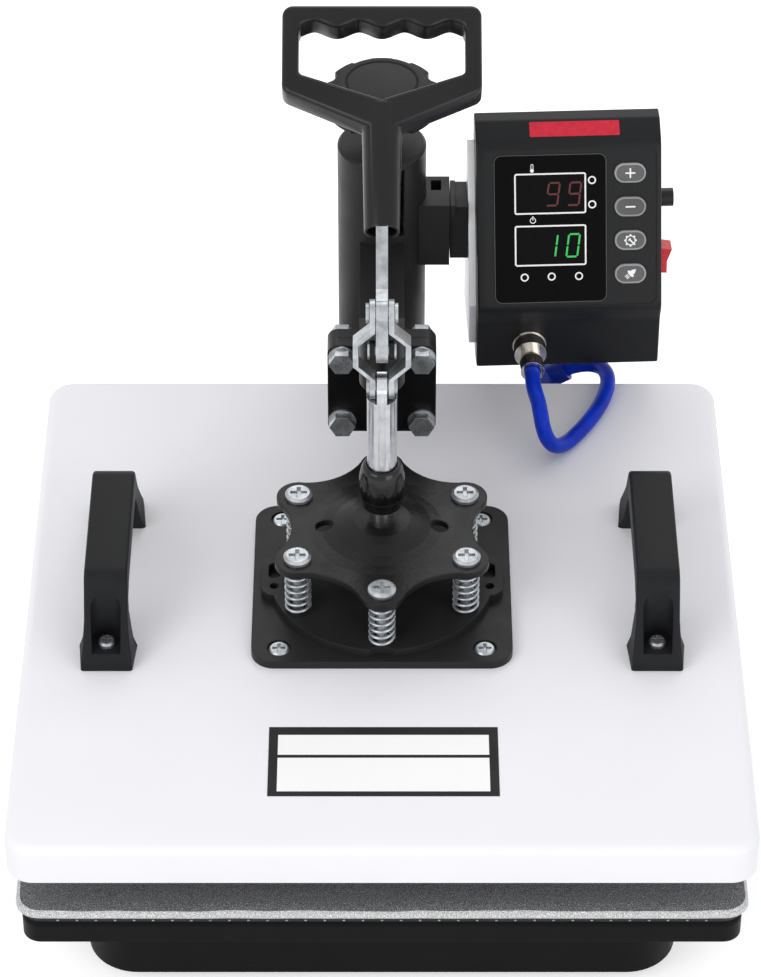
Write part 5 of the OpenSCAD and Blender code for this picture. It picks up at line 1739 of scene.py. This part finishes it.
    def build_display(self) -> None:
        """Make the printed window frames, lamp rings, icons, the overlay's painted rim highlight and the lit
        numbers.
        """
        w, h = self.window_size
        around = [size + self.window_border for size in self.window_size]
        prints = self.icons()
        for u, v in self.windows:
            ring = self.flat_ring("window_frame", *around, *self.window_line, 4)
            prints.append(put(ring, self.panel_place(u + w / 2, v + h / 2)))
        for u, v in self.lamps:
            ring = self.flat_ring("lamp_ring", *self.lamp_ring, 10)
            prints.append(put(ring, self.panel_place(u * MM, v * MM)))
        lines = merge(prints)
        lines.name = "panel_print"
        mount(paint(lines, Look.PRINT_WHITE), Body.ARM, Slot.PLASTIC)
        u, v, w, h = self.overlay
        # A light grey hairline round the overlay, painted as its rim highlight.
        rim = self.flat_ring("overlay_rim_painted_highlight", w - 0.2 * MM, h - 0.2 * MM, self.overlay_corner, 0.45 * MM, 8)
        put(rim, self.panel_place(u + w / 2, v + h / 2))
        mount(paint(rim, Look.PANEL_LINE), Body.ARM, Slot.PLASTIC)
        sunk = self.panel_place() @ Matrix.Translation((0, 0, -self.digit_sink))
        for name, digits, look in (
            ("temperature_number", (("9", 40.7, 62.6), ("9", 53.3, 62.6)), Look.GLOW_RED),
            ("timer_number", (("1", 39.3, 31.9), ("0", 52.3, 31.9)), Look.GLOW_GREEN),
        ):
            number = merge([self.digit(name, value, u * MM, v * MM) for value, u, v in digits])
            mount(paint(put(number, sunk), look), Body.ARM, Slot.LED)

    def sign(self, kind: str) -> Piece:
        """White sign on a button, about the origin.

        Args:
            kind: Name of the button.

        Returns:
            The sign.
        """
        pieces = [self.bar(*edges) for edges in SIGN_BARS[kind]]
        if kind == "set":
            pieces.append(self.flat_ring("sign_wheel", 6.0 * MM, 6.0 * MM, 2.99 * MM, 0.6 * MM, 8))
        if kind == "start":
            corners = [(2.2 * MM, -1.3 * MM), (4.2 * MM, 0), (2.2 * MM, 1.3 * MM)]
            nose = plate("sign_nose", corners, 0, SIGN_HEIGHT)
            pieces.append(put(nose, Matrix.Rotation(math.radians(ROCKET_TURN), 4, "Z")))
        return merge(pieces)

    def build_buttons(self) -> None:
        """Make the four push buttons, each on its own body."""
        w, h = self.button_size
        back, top = self.button_ends
        for kind, v in zip(("plus", "minus", "set", "start"), self.button_heights):
            cap = self.pill(f"push_button_{kind}", w, h, back, top)
            round_edges(cap, lambda a, b: min(a.z, b.z) > top - TINY, 0.6 * MM, 3)
            pick_faces(cap, lambda centre, normal: normal.z > 0.99)
            with editing(cap):
                bpy.ops.mesh.inset(thickness=0.45 * MM, depth=-0.15 * MM)
            for face in cap.data.polygons:
                face.material_index = 0 if face.normal.z > 0.99 and abs(face.center.x) < 1 * MM else 1
            paint(cap, Look.BUTTON, Look.BUTTON_RIM, Look.PRINT_WHITE)
            smooth(cap, 40)
            sign = put(self.sign(kind), Matrix.Translation((0, 0, top - self.sign_sink)))
            button = merge([cap, paint(sign, Look.PRINT_WHITE)])
            put(button, self.panel_place(self.button_u, v))
            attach(button, f"key_{kind}")
            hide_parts(f"button_{kind}")
            LOG.info("%s rides on key_%s", button.name, kind)

    def build_strip(self) -> None:
        """Lay the plain red strip on the brow."""
        (y0, z0), (y1, z1) = self.front_outline()[3:5]
        lean = math.atan2(z1 - z0, y1 - y0)
        strip = block("red_brow_strip", self.sticker_low, self.sticker_high)
        round_edges(strip, upright, 0.6 * MM, 2)
        start = Matrix.Translation((self.sticker_x, y0, z0))
        place = self.box_place() @ start @ Matrix.Rotation(lean, 4, "X")
        mount(paint(put(strip, place), Look.STRIP_RED), Body.ARM, Slot.PLASTIC)

    def build(self) -> None:
        """Make the box's new pieces."""
        self.build_shell()
        self.build_plate()
        self.build_display()
        self.build_buttons()
        self.build_strip()


@dataclass
class Solids:
    """Finishes of the solids that stay as they are."""

    looks: tuple[tuple[Look, str], ...] = (
        (Look.BASE_ENAMEL, "base_frame rear_beam post_foot cross_bars lower_platen"),
        (Look.BLACK_ENAMEL, "column_sleeve sleeve_lid swing_arm box_bracket mount_plate spring_seat"),
        (Look.CAST_BLACK, "toggle_bracket star_plate guide_bush"),
        (Look.SILVER_ENAMEL, "box_back"),
        (Look.ZINC, "post_bolts platen_bolts thrust_cup pressure_screw screw_nut flange_bolts fulcrum_pin"),
        (Look.ZINC, "lever_bar upper_rivet link_left link_right lower_rivets spring_screws mount_screws"),
        (Look.NICKEL, "cable_socket cable_plug"),
        (Look.CHROME, "plunger_rod column_post"),
        (Look.HEATER, "heater_element handle_screws"),
        (Look.BRONZE, "sleeve_bushes"),
        (Look.ALUMINIUM, "heating_platen"),
        (Look.BOARD, "insulation"),
        (Look.RUBBER, "rubber_feet"),
        (Look.PLASTIC, "fuse_holder switch_frame power_inlet"),
        (Look.BOOT, "cable_gland"),
        (Look.GLOSS_BLACK, "display_panel"),
        (Look.SMOKED, "led_displays"),
        (Look.SWITCH_RED, "switch_rocker"),
        (Look.CIRCUIT, "control_board"),
    )

    def build(self) -> None:
        """Paint every solid that is shown."""
        for look, names in self.looks:
            for name in names.split():
                paint(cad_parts[name], look)


def main() -> None:
    """Build the studio and every piece, in order."""
    logging.basicConfig(level=logging.INFO, format="%(name)s: %(message)s")
    for maker in (
        Studio(), HeadCable(), PressPad(), HeadCover(), CarryHandles(), SpringStack(),
        GuideBarrel(), LeverGrip(), PressureKnob(), ControlBox(), Solids(),
    ):
        maker.build()
    deselect()


if __name__ == "__main__":
    main()
